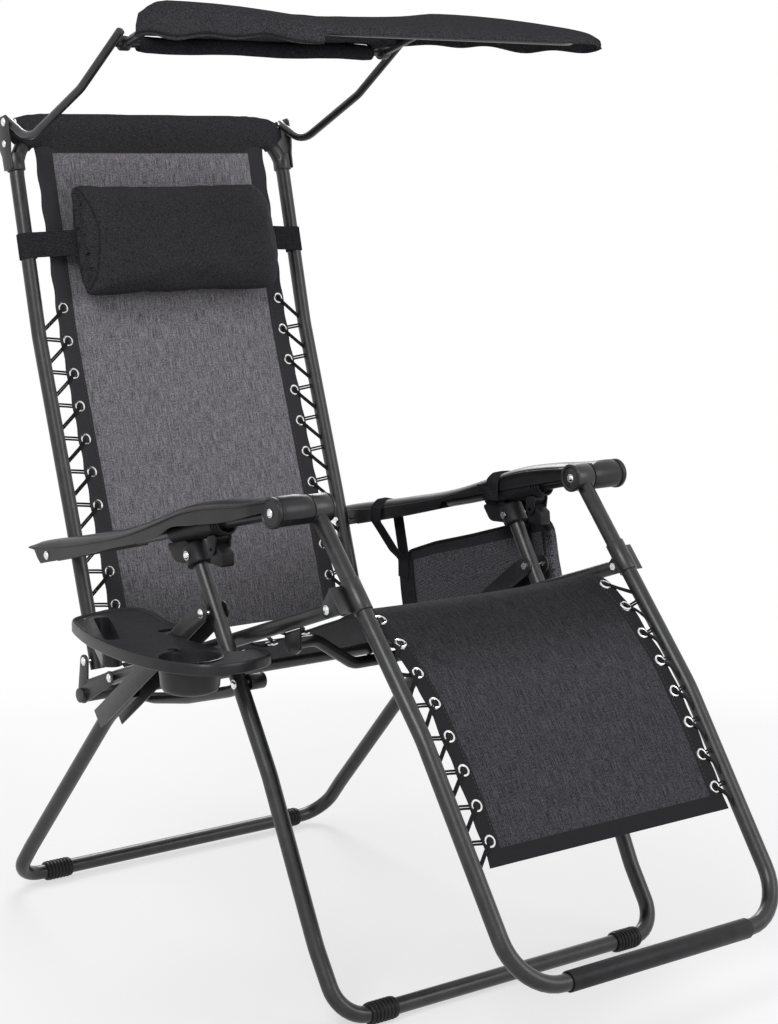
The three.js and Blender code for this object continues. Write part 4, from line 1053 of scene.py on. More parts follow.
def sling(line, half_at, sag, first, pitch, hem, to_sitter):
    """A laced sheet along a line; first and pitch place the eyelets its edge waves between."""
    rows = evenly(line)
    total = rows[-1][2]
    inner = hem / HALF
    edge = [inner + EDGE_RISE, inner + 0.05, 0.95, 0.985, 1.0]
    columns = [-c for c in edge[::-1]] + [inner * k / 9 for k in range(-9, 10)] + edge

    def place(c, j, face):
        point, way, s = rows[j]
        normal = Vector((0, -way.z, way.y)) * to_sitter
        pull = EDGE_PULL * math.sin(math.pi * (s * 1000 - first) / pitch) ** 2
        x = c * (half_at(s) - pull * abs(c) ** PULL_SHARPNESS) / 1000
        depth = CLOTH_HEM if abs(c) < 0.99 else CLOTH_EDGE
        if abs(c) <= inner + 1e-6:
            depth = CLOTH_THIN
        dip = -sag * math.cos(min(1, abs(c)) * math.pi / 2) * math.sin(math.pi * s / total)
        return point + Vector((x, 0, 0)) + normal * (dip + face * depth / 2) / 1000, (x, s)

    return *sheet_shell(rows, columns, place), total, rows

# %% [markdown]
# The back's sheet ends in the pocket at the top bar, where it narrows with the bar's
# corners. The seat's sheet has one width from end to end.

# %% Slings
BEND_X = BACK_X - BACK_CORNER
back_line = bent_line(side_line([*BACK_CLOTH, BACK_UP[2]], 0), 160)
back_total = sum((b - a).length for a, b in zip(back_line, back_line[1:])) * 1000


def back_half(s):
    """The cloth stays inside the tube's corners near the top bar."""
    below = min(back_total - s * 1000, BACK_CORNER)
    corner_x = BEND_X + BACK_CORNER * math.sqrt(max(0.0, 1 - (1 - below / BACK_CORNER) ** 2))
    return min(HALF, corner_x - 1)


shell, uv, back_length, back_rows = sling(back_line, back_half, 4.0, 57.4, 50.2, 181, 1)
back_cloth = new_piece("back_cloth", shell, back_mesh, "back", "back_sling", uv=uv)
SEAT_BENDS = [30, 60, 300, 60, 30, 30, 60, 200, 300, 60]
seat_line = bent_line(side_line([*SEAT_CLOTH, *LEG_CLOTH], 0), SEAT_BENDS)
shell, uv, seat_length, seat_rows = sling(seat_line, lambda s: HALF, 3.0, 150, 60, 186, -1)
seat_cloth = new_piece("seat_cloth", shell, seat_mesh, None, uv=uv, slot="woven_mesh")
print("back cloth", round(back_length, 3), "seat cloth", round(seat_length, 3))

# %% [markdown]
# The pocket round the top bar is squarer than the tube at its corners and hangs down a
# little in front, where the sling leaves it.

# %% Top pocket
DEPTH_WAY = across(UPPER)
top_gap = minus(BACK_CLOTH[-1], BACK_UP[2])
SLING_DEPTH = top_gap[0] * DEPTH_WAY[0] + top_gap[1] * DEPTH_WAY[1]
POCKET_TURN, POCKET_SKIN, POCKET_SIDES, POCKET_HANG, POCKET_REACH = 52, 13.4, 28, 25, 84.3
print("the sling leaves the pocket", round(SLING_DEPTH, 1), "in front of the bar")


def pocket_ring(i, x, a):
    """One section of the pocket: at x on the straight bar, or at an angle a round a corner."""
    out, square = (math.sin(a), math.cos(a)), 0.0
    if a:
        x = math.copysign(BEND_X + BACK_CORNER * math.sin(abs(a)), a)
        reach = BACK_CORNER + FRAME_TUBE
        corner = reach / (abs(out[0]) ** 5 + out[1] ** 5) ** 0.2
        square = max(0.0, min(corner, POCKET_REACH / max(0.3, abs(out[0]))) - reach)
        square *= 1 - max(0.0, (abs(math.degrees(a)) - 44) / 8) ** 2 * 0.35
    middle = at(x, *plus(BACK_UP[2], UPPER, -BACK_CORNER * (1 - out[1])))
    outward_way = Vector((out[0], UPPER[0] * out[1], UPPER[1] * out[1]))
    size = POCKET_SKIN + 0.4 * math.sin(i * 2.1)
    hang = POCKET_HANG * max(0.0, 1 - abs(math.degrees(a)) / 46) ** 0.8
    ring = []
    for k in range(POCKET_SIDES):
        turned = 2 * math.pi * k / POCKET_SIDES
        far, deep = math.cos(turned), math.sin(turned)
        grow = (square + 7.5 * out[1] ** 2) * max(0.0, far) ** 1.5
        low = max(0.0, -far)
        thin = 1 - 0.82 * low ** 1.6 * min(1, hang / 12)
        lean = SLING_DEPTH * low ** 1.2 * min(1, hang / POCKET_HANG)
        ring.append(middle + outward_way * (far * size + grow - hang * low ** 1.3) / 1000
                    + Vector((0, *DEPTH_WAY)) * (deep * size * thin + lean) / 1000)
    return ring


corner_turns = [math.radians(a) for a in np.linspace(POCKET_TURN, 0, 14)]
stations = [(0.0, -a) for a in corner_turns[:-1]] + [(-BEND_X, 0.0)]
stations += [(x, 0.0) for x in np.linspace(-150, 150, 9)]
stations += [(BEND_X, 0.0)] + [(0.0, a) for a in corner_turns[-2::-1]]
shell = ring_shell([pocket_ring(i, x, a) for i, (x, a) in enumerate(stations)])
pocket_uv = [(v.x, v.z) for v in shell[0]]
new_piece("top_pocket", shell, band_cloth, "back", uv=pocket_uv, slot="black_cloth")

# %% [markdown]
# Eyelets are bright rings pressed through the hem, one on each face of the cloth.

# %% Eyelets
for name, body, to_sitter in (("back", "back", 1), ("seat", "seat", -1), ("leg", "legrest", -1)):
    marks = []
    for where, way in eyelet_places(name):
        normal = tuple(c * to_sitter for c in across(way))
        for face in (1, -1):
            spot = plus(where, normal, face * 1.3)
            marks += [(at(sign * EYELET_X, *spot), (0, *normal), (1, 0, 0)) for sign in SIGNS]
    repeated(f"{name}_eyelets", marks, eyelet_unit, {"Ring": 0.007, "Wire": 0.0017}, steel, body,
             slot="bright_steel")
print("eyelets", sum(e[1] for e in EYELETS.values()) * 2)

# %% [markdown]
# Each lace is two strands of cord side by side. They go from an eyelet's face into a hole
# on the tube's inner side, come out again and return behind the next eyelet.

# %% Laces
CORD, STRANDS = 1.5, (-1.9, 1.9)


def nearest(route, p):
    """The point of a route that is nearest to p."""
    spots = []
    for a, b in zip(route, route[1:]):
        step, rel = minus(b, a), minus(p, a)
        share = (rel[0] * step[0] + rel[1] * step[1]) / (step[0] ** 2 + step[1] ** 2)
        spots.append(plus(a, step, max(0, min(1, share))))
    return min(spots, key=lambda spot: math.hypot(*minus(p, spot)))


def lace_line(places, tube_route, inside, to_sitter, shift):
    """Points of one strand; inside is the x of the holes, shift its place beside the middle."""
    over, edge = 1.3 + CORD, HALF + 1.5
    points = []
    for i, (where, way) in enumerate(places):
        more = i + 1 < len(places)
        normal = tuple(c * to_sitter for c in across(way))
        if more:
            step = minus(places[i + 1][0], where)
        hole = plus(where, way, shift)
        first, last = (nearest(tube_route, plus(plus(where, step, t), way, shift)) for t in (0.66, 0.9))
        points += [(-EYELET_X, *plus(hole, normal, -over)), (-EYELET_X, *plus(hole, normal, over)),
                   (-edge, *plus(plus(hole, step, 0.26), normal, over)), (-inside, *first)]
        if more:
            points += [(-inside, *last), (-edge, *plus(plus(hole, step, 0.95), normal, -over))]
    return points


CORNER_CUT = 0.0022


def softened(points, rounds):
    """Rounds the turns of a line by cutting its corners."""
    for _ in range(rounds):
        cut = [points[0]]
        for a, b in zip(points, points[1:]):
            a, b = Vector(a), Vector(b)
            share = min(0.25, CORNER_CUT / max(1e-6, (b - a).length))
            cut += [a.lerp(b, share), b.lerp(a, share)]
        points = cut + [points[-1]]
    return points


TUBES = {
    "back": (BACK_LINE, BACK_X - FRAME_TUBE, 1, "back"),
    "seat": ([SEAT_REAR, KNEE], RAIL_X - RAIL_TUBE, -1, "seat"),
    "leg": ([ARM_FRONT, *LEGREST], LEGREST_X - FRAME_TUBE, -1, "legrest"),
}
for name, (route, skin_x, to_sitter, body) in TUBES.items():
    places = eyelet_places(name)[::-1] if name == "back" else eyelet_places(name)
    lines = [lace_line(places, route, skin_x + 3, to_sitter, shift) for shift in STRANDS]
    for side, sign in SIDES:
        strands = [softened([at(-sign * x, y, z) for x, y, z in line], 1) for line in lines]
        new_piece(f"{name}_cord_{side}", joined(*(tube_shell(s, CORD, 8) for s in strands)),
                  cord_look, body, f"{name}_lace_{side}")
print("laces are drawn")

# %% [markdown]
# Rows of thread run along the hems, two on each side of the back and one on the seat. One
# tree sets tiny beads along the cloth.

# %% Hem stitches
STITCH, STITCH_PITCH, STITCH_LIFT = {"Length": 0.0019, "Width": 0.00035}, 0.006, 1.45


def stitch_marks(rows, inset, to_sitter, first, last):
    """Marks along a sheet's rows, from one arc length to another, on both sides."""
    marks = []
    lengths = [s for _, _, s in rows]
    for k in range(int((last - first) / STITCH_PITCH)):
        s = first + k * STITCH_PITCH
        j = min(len(rows) - 2, int(np.searchsorted(lengths, s)))
        a, b = rows[j - 1], rows[j]
        t = (s - a[2]) / max(1e-9, b[2] - a[2])
        point, way = a[0].lerp(b[0], t), a[1].lerp(b[1], t).normalized()
        normal = Vector((0, -way.z, way.y)) * to_sitter
        place = point + normal * STITCH_LIFT / 1000
        marks += [(place + X * (sign * inset / 1000), normal, way) for sign in SIGNS]
    return marks


back_marks = [m for inset in (185, 208) for m in stitch_marks(back_rows, inset, 1, 0.02, 0.66)]
repeated("back_hem_stitches", back_marks, stitch_unit, STITCH, thread, "back", slot="black_cloth")
seat_marks = stitch_marks(seat_rows, 190, -1, 0.03, seat_length - 0.03)
seat_stitches = repeated("seat_hem_stitches", seat_marks, stitch_unit, STITCH, thread, None,
                         slot="black_cloth")
print("stitches", len(back_marks) + len(seat_marks))

# %% [markdown]
# The seat's sheet and its stitches are baked in place, and the seat and leg slings' solids are hidden. Both
# sheets are stretched by laces.

# %% Slings baked
KNEE_START, KNEE_END = tuple(at(0, -352, 520)), tuple(at(0, -420, 514))
for piece in (seat_cloth, seat_stitches):
    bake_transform(piece)
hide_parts("seat_sling", "leg_sling")

# %% [markdown]
# Armrests: a moulded wave with a crowned top, a thin lip that overhangs its side walls, and
# a barrel at its front. The pad is lofted from one section that is set at stations along the
# armrest and then turned down over the barrel.

# %% Armrests
LIP = flowing(
    [-317, -260, -214, -144, -71, 5.5, 99, 178, 286],
    [674, 661.5, 655, 641, 616, 591, 569, 553, 536.5],
)
OUTER = flowing([-340, -71, 5.5, 99, 178, 286], [320, 320, 316, 310, 305, 300])
CROWN = flowing([-320, -262, -183, -103, -39, 37, 116, 169, 250, 290], [4, 7, 8, 8.5, 9, 10, 11, 11, 8, 4])
WALL_LOW = flowing(
    [-319, -232, -159, -95, -85, -38, 43, 162, 261], [661, 637, 624, 609, 603, 587, 567, 537, 514.7])
INNER, PAD_END, WALL_MIN, WALL_REAR_Y, WALL_REAR_Z = 265, 290, 3.4, 261, 514.7


def pad_section(outer, inner, crown, outer_wall, inner_wall, under):
    """One closed section as (x, height over the lip), from the outer lip over the top."""
    half, middle = (outer - inner) / 2 - 2.4, (outer + inner) / 2
    top = []
    for k in range(15):
        t = -math.cos(math.pi * k / 14)
        top.append((middle - t * half, 0.4 + crown * (1 - abs(t) ** 2.6) ** 0.7))
    return [
        (outer, 0), *top, (inner, 0), (inner, -2), (inner + 0.9, -2.8), (inner + 0.9, -inner_wall),
        (inner + 3.2, -inner_wall), (inner + 3.6, under), (outer - 6.4, under), (outer - 6, -outer_wall),
        (outer - 2.8, -outer_wall), (outer - 2.6, -2.8), (outer, -2.2),
    ]


def pad_rings(sign):
    rings = []
    for y in [288, 283, *range(276, -300, -9), -300, -308, -315]:
        lip = LIP(y)
        end = min(1.0, max(0.15, (PAD_END - y) / 22) ** 0.5)
        behind = y > WALL_REAR_Y
        low = max(WALL_LOW(y), WALL_REAR_Z + (y - WALL_REAR_Y) * 1.2 if behind else 0)
        outer_wall = max(WALL_MIN, lip - low)
        inner_low = arm_line(y, 2 if y < TUBE_REAR_Y else -10)
        inner_wall = max(WALL_MIN, min(lip - inner_low, outer_wall + 3 if behind else 99))
        under = max(-2.0, arm_line(y, 9.3) - lip)
        outer = OUTER(y) - 0.62 * max(0, -290 - y)
        section = pad_section(outer, INNER, CROWN(y) * end, outer_wall, inner_wall, under)
        rings.append([at(sign * x, y, lip + h) for x, h in section])
    for angle in (80, 60, 40, 20, 0, -20):
        way = (-math.cos(math.radians(angle)), math.sin(math.radians(angle)))
        lips = (301.5, 255, 2.6) if angle > 60 else (300.3, 249.5, 1.6)
        section = pad_section(*lips, WALL_MIN, WALL_MIN, -2.2)
        rings.append([at(sign * x, *plus(ARM_FRONT, way, 19.2 + h)) for x, h in section])
    return rings


BARREL_PROFILE = [
    (249.2, 13.2), (249.2, 17.8), (250.4, 19), (299.8, 19.2), (300.4, 18.2), (301.2, 18.2), (301.7, 20.2),
    (302.6, 20.8), (306.8, 20.8), (308.2, 19.8), (308.4, 17.4), (307.4, 16.6), (307.4, 0.4), (303.4, 0.4),
    (303.4, 13.2),
]
KNUCKLE_RIM = [(216.2, 14.8), (215.6, 15.6), (215.6, 18.4), (216.6, 19.6), (219, 19.6), (219, 14.8)]
for side, sign in SIDES:
    shell = joined(ring_shell(pad_rings(sign)), lathe_shell(BARREL_PROFILE, ARM_FRONT, sign))
    new_piece(f"armrest_shell_{side}", shell, gloss_plastic, f"armrest_{side}", f"armrest_{side}")
    new_piece(f"knuckle_rim_{side}", lathe_shell(KNUCKLE_RIM, ARM_FRONT, sign), paint, "legrest",
              slot="coated_steel")
bolts("knuckle_screws", on_both_sides(216.8, ARM_FRONT, -1), "legrest", SCREW)
print("armrests are lofted")

# %% [markdown]
# The canopy cover is one continuous sheet over the tilting frame. It sags between the side
# rails, turns down over them into a skirt with a wavy hem, rounds off at its front corners,
# and runs back to a sleeve round the cross bar. Seeded noise lays shallow creases in it.

# %% Canopy cover
noise.seed_set(7)
ROOF = [(117, 1272.5), (104, 1277), (88, 1284), (70, 1291), (45, 1304), (10, 1310.5), (-20, 1311),
        (-70, 1306.5), (-130, 1300), (-195, 1291.5), (-260, 1282), (-300, 1275), (-322, 1270),
        (-336, 1264.5), (-343.5, 1257)]
COVER_HALF = flowing(
    [-344, -338, -322, -300, -240, -60, 20, 50, 66, 78, 90, 104, 117],
    [236, 248, 258, 263, 266, 266, 263, 256, 244, 228, 212, 206, 205],
)
HEM = flowing([-345, -160, -60, 0, 68, 90, 117], [1246, 1256, 1262, 1265, 1268, 1270, 1268])
SHOULDER, SHOULDER_DROP, COVER_SKIN, SLEEVE_HALF = 0.8, 14, 0.75, 208
roof_rows = evenly(side_line(ROOF, 0), 0.011)
cover_columns = [k / 15 for k in range(-15, 16)]


def cover_place(c, j, face):
    """A point of the cover at a share c of its width, on row j."""
    point, way, s = roof_rows[j]
    y, z = point.y * 1000 - SHIFT[1], point.z * 1000
    half = COVER_HALF(y)
    reach = abs(c)
    side = 1 if c > 0 else -1
    crease = noise.noise(Vector((c * 3.1, s * 9.0, 0.7))) * 3.4
    fine = noise.noise(Vector((c * 9.0, s * 31.0, 4.2))) * 1.1
    flat = max(0.0, 1 - abs(y + 130) / 260)
    if reach <= SHOULDER:
        x = reach / SHOULDER * (half - SHOULDER_DROP)
        between = max(0.0, 1 - (reach / 0.68) ** 2.4)
        over_bar = max(0.0, min(1.0, (y + 312) / 70))
        drop = (11 * (0.3 + flat) + crease + fine) * between * over_bar
        drop += 2.0 * math.exp(-((c / 0.05) ** 2)) * flat * over_bar
    else:
        t = (reach - SHOULDER) / (1 - SHOULDER)
        deep = max(5.0, z - HEM(y))
        wave = math.sin(s * 47 + side) * 2.6 + math.sin(s * 19 + 2 * side) * 2.2
        out = SHOULDER_DROP * math.sin(min(1, t * 1.7) * math.pi / 2)
        x = half - SHOULDER_DROP + out + t**2 * wave * 0.6 - (1.5 if face < 0 else 0)
        drop = deep * t**1.7 + t**2 * wave
    lift = face * COVER_SKIN * (1 if reach <= SHOULDER else 0.3)
    spot = Vector((point.x + side * x / 1000, point.y, point.z - drop / 1000))
    return spot + Vector((0, -way.z, way.y)) * lift / 1000, (c * 0.3, s)


shell, uv = sheet_shell(roof_rows, cover_columns, cover_place)
cover = new_piece("sun_cover", shell, black_cloth, "canopy", "canopy_cover", uv=uv)
cover_length = roof_rows[-1][2]
cover_area = 0.0
for point, _, _ in roof_rows:
    depth = point.y * 1000 - SHIFT[1]
    skirt = math.hypot(SHOULDER_DROP, max(5.0, point.z * 1000 - HEM(depth)))
    flat_half = COVER_HALF(depth) - SHOULDER_DROP + skirt
    cover_area += 2 * flat_half / 1000 * cover_length / len(roof_rows)
print("cover", round(cover_length, 3), "cut area", round(cover_area, 4))
cover_length + 0.02

sleeve_x = np.linspace(-SLEEVE_HALF, SLEEVE_HALF, 34)
sleeve_line = [at(x, CANOPY_BAR[0], CANOPY_BAR[1] - 1.6 - 1.2 * math.sin(x / 31)) for x in sleeve_x]
sleeve_taper = [1 + 0.05 * noise.noise(Vector((x / 40, 0, 1))) - 0.12 * (abs(x) > 200) for x in sleeve_x]
new_piece("bar_sleeve", tube_shell(sleeve_line, 11.6, 28, sleeve_taper), band_cloth, "canopy",
          slot="black_cloth")
for side, sign in SIDES:
    hem_line = [cover_place(sign * 0.985, j, 1)[0] for j in range(3, len(roof_rows))]
    new_piece(f"cover_hem_{side}", tube_shell(hem_line, 1.5, 8), band_cloth, "canopy", slot="black_cloth")
print("canopy is covered, rows of the cover", len(roof_rows))

# %% [markdown]
# The pillow is a stuffed bolster. It starts as a slightly slim rounded block, is remeshed,
# and cloth simulation blows it up with a little pressure; how far a point may move is
# capped. Its seams are pressed in afterwards, because a remesh would erase them.

# %% Pillow
PILLOW_AT, PILLOW_LIFT = (364.7, 972), 36
pillow_middle = plus(PILLOW_AT, across(UPPER), PILLOW_LIFT)
pillow_up, pillow_front = Vector((0, *UPPER)), Vector((0, *across(UPPER)))
pillow_centre = at(0, *pillow_middle)


PILLOW_HALF, PILLOW_SIDES, PILLOW_ROWS = (185, 88, 28), 48, 40


def bolster_shell(half):
    """A rounded block: a superellipse section that closes at both ends."""
    rings = []
    for j in range(PILLOW_ROWS + 1):
        t = -math.cos(math.pi * (j + 0.35) / (PILLOW_ROWS + 0.7))
        end = (1 - abs(t) ** 7) ** (1 / 3.2)
        ring = []
        for k in range(PILLOW_SIDES):
            a = 2 * math.pi * k / PILLOW_SIDES
            up = math.copysign(abs(math.sin(a)) ** 0.8, math.sin(a)) * half[1] * (0.86 + 0.14 * end)
            out = math.copysign(abs(math.cos(a)) ** 0.8, math.cos(a)) * half[2] * end
            high = math.sin(a)
            cut = (0.1 if high > 0 else 0.06) * abs(high) ** 4 * max(0.0, t) ** 3
            place = pillow_centre + Vector((t * (1 - cut) * half[0] / 1000, 0, 0))
            ring.append(place + pillow_up * up / 1000 + pillow_front * out / 1000)
        rings.append(ring)
    return ring_shell(rings)


VOXEL, PRESSURE, SWELL, CLOTH_FRAMES = 0.006, 4.0, 0.007, 20


def inflated(obj):
    """Remeshes a closed form and swells it by cloth simulation, each point at most SWELL."""
    remesh = obj.modifiers.new("remesh", "REMESH")
    remesh.mode, remesh.voxel_size = "VOXEL", VOXEL
    baked(obj)
    start = np.array([v.co for v in obj.data.vertices])
    cloth = obj.modifiers.new("cloth", "CLOTH")
    cloth.settings.use_pressure = True
    cloth.settings.uniform_pressure_force = PRESSURE
    cloth.settings.effector_weights.gravity = 0
    cloth.settings.quality = 5
    cloth.point_cache.frame_start, cloth.point_cache.frame_end = 1, CLOTH_FRAMES
    for step in range(1, CLOTH_FRAMES + 1):
        scene.frame_set(step)
    baked(obj)
    scene.frame_set(1)
    moved = np.array([v.co for v in obj.data.vertices]) - start
    length = np.linalg.norm(moved, axis=1, keepdims=True)
    moved *= np.minimum(1, SWELL / np.maximum(length, 1e-9))
    for vertex, place in zip(obj.data.vertices, start + moved):
        vertex.co = place


SEAM_X, SEAM_BOW, SEAM_HALF, WELT_LIFT, WELT_R = -179, 20, 84, 0.0004, 1.5


def end_seam(up):
    """How far out the seam of the right end panel runs, at a height on the pillow."""
    bow = max(0.0, math.cos(math.pi / 2 * min(1, abs(up - 4) / SEAM_HALF)))
    return SEAM_X + SEAM_BOW * bow**0.7


pillow = add_object("head_pillow", *bolster_shell(PILLOW_HALF))
pillow.data.materials.append(twill.material)
outward(pillow.data)
inflated(pillow)
subdivide = pillow.modifiers.new("finer", "SUBSURF")
subdivide.levels = subdivide.render_levels = 1
baked(pillow)
noise.seed_set(11)
for vertex in pillow.data.vertices:
    rel = vertex.co - pillow_centre
    x, up, out = rel.x * 1000, rel.dot(pillow_up) * 1000, rel.dot(pillow_front) * 1000
    beyond = (end_seam(up) - x) / 9
    panel = max(0.0, min(1.0, beyond)) * (out > 0)
    pucker = math.exp(-(((x - end_seam(up)) / 12) ** 2)) * math.sin(up / 3.4) * 0.6
    crease = noise.noise(Vector((x / 60, up / 34, out / 40))) * 2.2
    crease += noise.noise(Vector((x / 21, up / 40, out / 20 + 5))) * 0.8
    push = (-5.0 * panel + pucker + crease) / 1000
    vertex.co = vertex.co + Vector(vertex.normal) * push
finish_edges(pillow, 80)
settle(pillow, "pillow", "pillow")
from_front = BVHTree.FromPolygons(
    [v.co for v in pillow.data.vertices], [tuple(p.vertices) for p in pillow.data.polygons])
welt = []
for up in np.linspace(-80, SEAM_HALF, 34):
    start = pillow_centre + Vector((end_seam(up) / 1000, 0, 0)) + pillow_up * up / 1000
    hit = from_front.ray_cast(start + pillow_front * 0.09, -pillow_front)[0]
    if hit is not None:
        welt.append(hit + pillow_front * WELT_LIFT)
new_piece("pillow_welt", tube_shell(softened(welt, 1), WELT_R, 8), band_cloth, "pillow", slot="black_cloth")
print("pillow", len(pillow.data.polygons), "faces")

# %% [markdown]
# Straps and webbing are flat bands, modelled directly: a path, a width and a thickness. Two
# of them go round the back tubes and hold the pillow.

# %% Flat bands
def band_shell(path, wide, width, thick):
    """A flat strap along a path; wide is the direction of its width. Returns shell and uv."""
    path, wide = [Vector(p) for p in path], Vector(wide).normalized()
    half, t = width / 2000, thick / 2000
    corners = [(-half, -t * 0.6), (-half * 0.97, -t), (half * 0.97, -t), (half, -t * 0.6),
               (half, t * 0.6), (half * 0.97, t), (-half * 0.97, t), (-half, t * 0.6)]
    rings, uv, run = [], [], 0.0
    for i, p in enumerate(path):
        way = (path[min(i + 1, len(path) - 1)] - path[max(i - 1, 0)]).normalized()
        out = way.cross(wide).normalized()
        run += (p - path[i - 1]).length if i else 0
        rings.append([p + wide * a + out * b for a, b in corners])
        uv += [(a, run) for a, _ in corners]
    return ring_shell(rings), uv


RING_R, TAIL = 12.6, [(172, 27), (188, 23), (205, 19), (222, 15.5), (236, 13.6)]
ring_angles = [math.radians(-18 + 330 * k / 24) + math.pi * 0.62 for k in range(24, -1, -1)]
ring = [(BACK_X + RING_R * math.cos(a), RING_R * math.sin(a)) for a in ring_angles]
for side, sign in SIDES:
    path = [pillow_centre + pillow_front * ((d - PILLOW_LIFT) / 1000) + X * (sign * x / 1000)
            for x, d in TAIL + ring]
    shell, uv = band_shell(softened(path, 1), pillow_up, 38, 1.6)
    new_piece(f"pillow_strap_{side}", shell, webbing, "pillow", uv=uv, slot="black_cloth")
print("pillow straps are on")

# %% [markdown]
# The side bag is a lofted pouch of soft cloth: a long rounded section, fuller low down,
# whose mouth dips between its two hangers. It hangs in line with the armrest.

# %% Side bag
BAG_IN, BAG_DEEP, BAG_REAR, BAG_LONG, BAG_TOP, BAG_HIGH = 323, 28, 22, 371, 58, 190
BAG_SIDES, MOUTH_ROWS = 112, 4


def by_arm(reach, down):
    """A side view point at a reach along the armrest from its rear bolt and a depth below."""
    return plus(plus(ARM_REAR, ARM_WAY, reach), ARM_DOWN, down)


def bag_ring(share):
    """The pouch's section at a share of its height from the mouth to the bottom."""
    belly = 0.62 + 0.38 * math.sin(math.pi * min(1, share * 1.15) * 0.62)
    close = math.sqrt(max(0.0, 1 - max(0.0, (share - 0.86) / 0.14) ** 2))
    ring = []
    for k in range(BAG_SIDES):
        a = 2 * math.pi * k / BAG_SIDES
        along_share = math.copysign(abs(math.cos(a)) ** 0.22, math.cos(a))
        out_share = math.copysign(abs(math.sin(a)) ** 0.42, math.sin(a))
        round_off = 30 * (1 - close) + 3 * math.sin(share * math.pi)
        reach = BAG_REAR + BAG_LONG / 2 + along_share * (BAG_LONG / 2 - round_off)
        middle = BAG_IN + BAG_DEEP / 2
        half = BAG_DEEP / 2 * belly * (0.5 + 0.5 * close)
        crease = noise.noise(Vector((reach / 55, share * 3.4, out_share))) * 2.4
        crease += noise.noise(Vector((reach / 17, share * 9.0, 3.3))) * 0.7
        x = middle + out_share * half + (crease * math.sin(math.pi * share) if out_share > 0 else 0)
        x = min(x, BAG_IN + BAG_DEEP + 1.5)
        rear_cut = 30 * max(0.0, 1 - share / 0.26) ** 1.5 * (0.5 - 0.5 * along_share)
        front_cut = 16 * max(0.0, 1 - share / 0.13) ** 2 * (0.5 + 0.5 * along_share)
        reach += rear_cut - front_cut
        part = (reach - BAG_REAR) / BAG_LONG
        dip = 3 * math.sin(math.pi * part) ** 2 - 14 * part + 10 * max(0.0, 1 - part / 0.3)
        sag = 5 * math.sin(math.pi * (reach - BAG_REAR) / BAG_LONG) * share
        down = BAG_TOP + dip * (1 - share) ** 2 + (BAG_HIGH - 2) * share
        down += (sag - 3 if share > 0.5 else 0) * (share - 0.5)
        ring.append((max(x, BAG_IN + 0.5), *by_arm(reach, down)))
    return ring


noise.seed_set(23)
shares = [0, 0.01, 0.03, 0.06] + [0.1 + 0.05 * k for k in range(16)] + [0.9, 0.94, 0.97, 0.99, 1.0]
bag_rings = [bag_ring(s) for s in shares]
verts, faces = ring_shell([[at(*p) for p in ring] for ring in bag_rings])
pouch = add_object("bag_pouch", verts, faces[:-2] + [faces[-1]])
set_uv(pouch.data, [((p[1] + p[0]) / 1000, p[2] / 1000) for ring in bag_rings for p in ring])
bag_grey = cloth_look("bag_melange", (0.026, 0.0255, 0.03), (0.18, 0.175, 0.195), 0.0023, 560)
for look in (bag_grey, band_cloth):
    pouch.data.materials.append(look.material)
outward(pouch.data)
for polygon in pouch.data.polygons[:BAG_SIDES * MOUTH_ROWS]:
    polygon.material_index = 1
wall = pouch.modifiers.new("wall", "SOLIDIFY")
wall.thickness, wall.offset = 0.0018, -1
baked(pouch)
finish_edges(pouch, 60)
settle(pouch, "armrest_left", "side_bag")
print("bag", len(pouch.data.polygons), "faces")

# %% [markdown]
# Two webbing hangers go over the armrest to the bag's mouth. Flat bands run on down its
# faces, and a binding edges each face.

# %% Bag webbing
HANGER_WIDE, HANGER_THICK, BAND_THICK, BINDING_R = 25, 1.5, 1.3, 2.2


def hanger(name, middle, lean, mouth_at, vee):
    """A strap over the armrest whose two strands meet at the bag's mouth."""
    lip_x, lip_z = OUTER(middle), LIP(middle)
    crown_z = lip_z + CROWN(middle)
    mouth_y, mouth_z = mouth_at
    low_inner = arm_line(middle, -12)
    loop = [
        (324.6, mouth_y, mouth_z - 26), (324.6, mouth_y, mouth_z), (lip_x + 2.8, middle + lean, lip_z - 14),
        (lip_x + 2.2, middle + lean, lip_z - 1), (lip_x - 1, middle + lean, lip_z + 2.6),
        (lip_x - 8, middle, crown_z + 0.4), (293, middle, crown_z + 1.6), (275, middle, crown_z + 0.6),
        (266, middle, lip_z + 3.4), (262.6, middle, lip_z - 1), (262.6, middle, low_inner),
        *vee, (321.8, mouth_y, mouth_z + 2), (322.2, mouth_y, mouth_z - 26),
    ]
    path = softened([at(x, y, z) for x, y, z in loop], 2)
    shell, uv = band_shell(path, (0, 1, 0), HANGER_WIDE, HANGER_THICK)
    new_piece(f"bag_hanger_{name}", shell, webbing, "armrest_left", uv=uv, slot="black_cloth")


rear_mouth, front_mouth = by_arm(48, BAG_TOP + 22), by_arm(340, BAG_TOP - 6)
hanger("rear", 171, 0, rear_mouth, [(268, 171, 527), (304, rear_mouth[0] + 1, rear_mouth[1] + 18)])
hanger("front", -104, -4, front_mouth, [(262.5, -82, 620), (275, -90, 588), (306, -98, 570)])
for name, reach, wide, top in (("rear", 48, 36, 20), ("front", 340, 26, -6)):
    down = [by_arm(reach, d) for d in np.linspace(BAG_TOP + top, BAG_TOP + BAG_HIGH * 0.8, 16)]
    for face, start, bulge in (("outer", BAG_IN + BAG_DEEP - 6, 7.6), ("inner", BAG_IN + 4.5, -5.2)):
        path = [at(start + bulge * math.sin(min(1, k / 8) * math.pi / 2), *p) for k, p in enumerate(down)]
        shell, uv = band_shell(path, (0, *ARM_WAY), wide, BAND_THICK)
        new_piece(f"bag_{name}_band_{face}", shell, webbing, "armrest_left", uv=uv, slot="black_cloth")
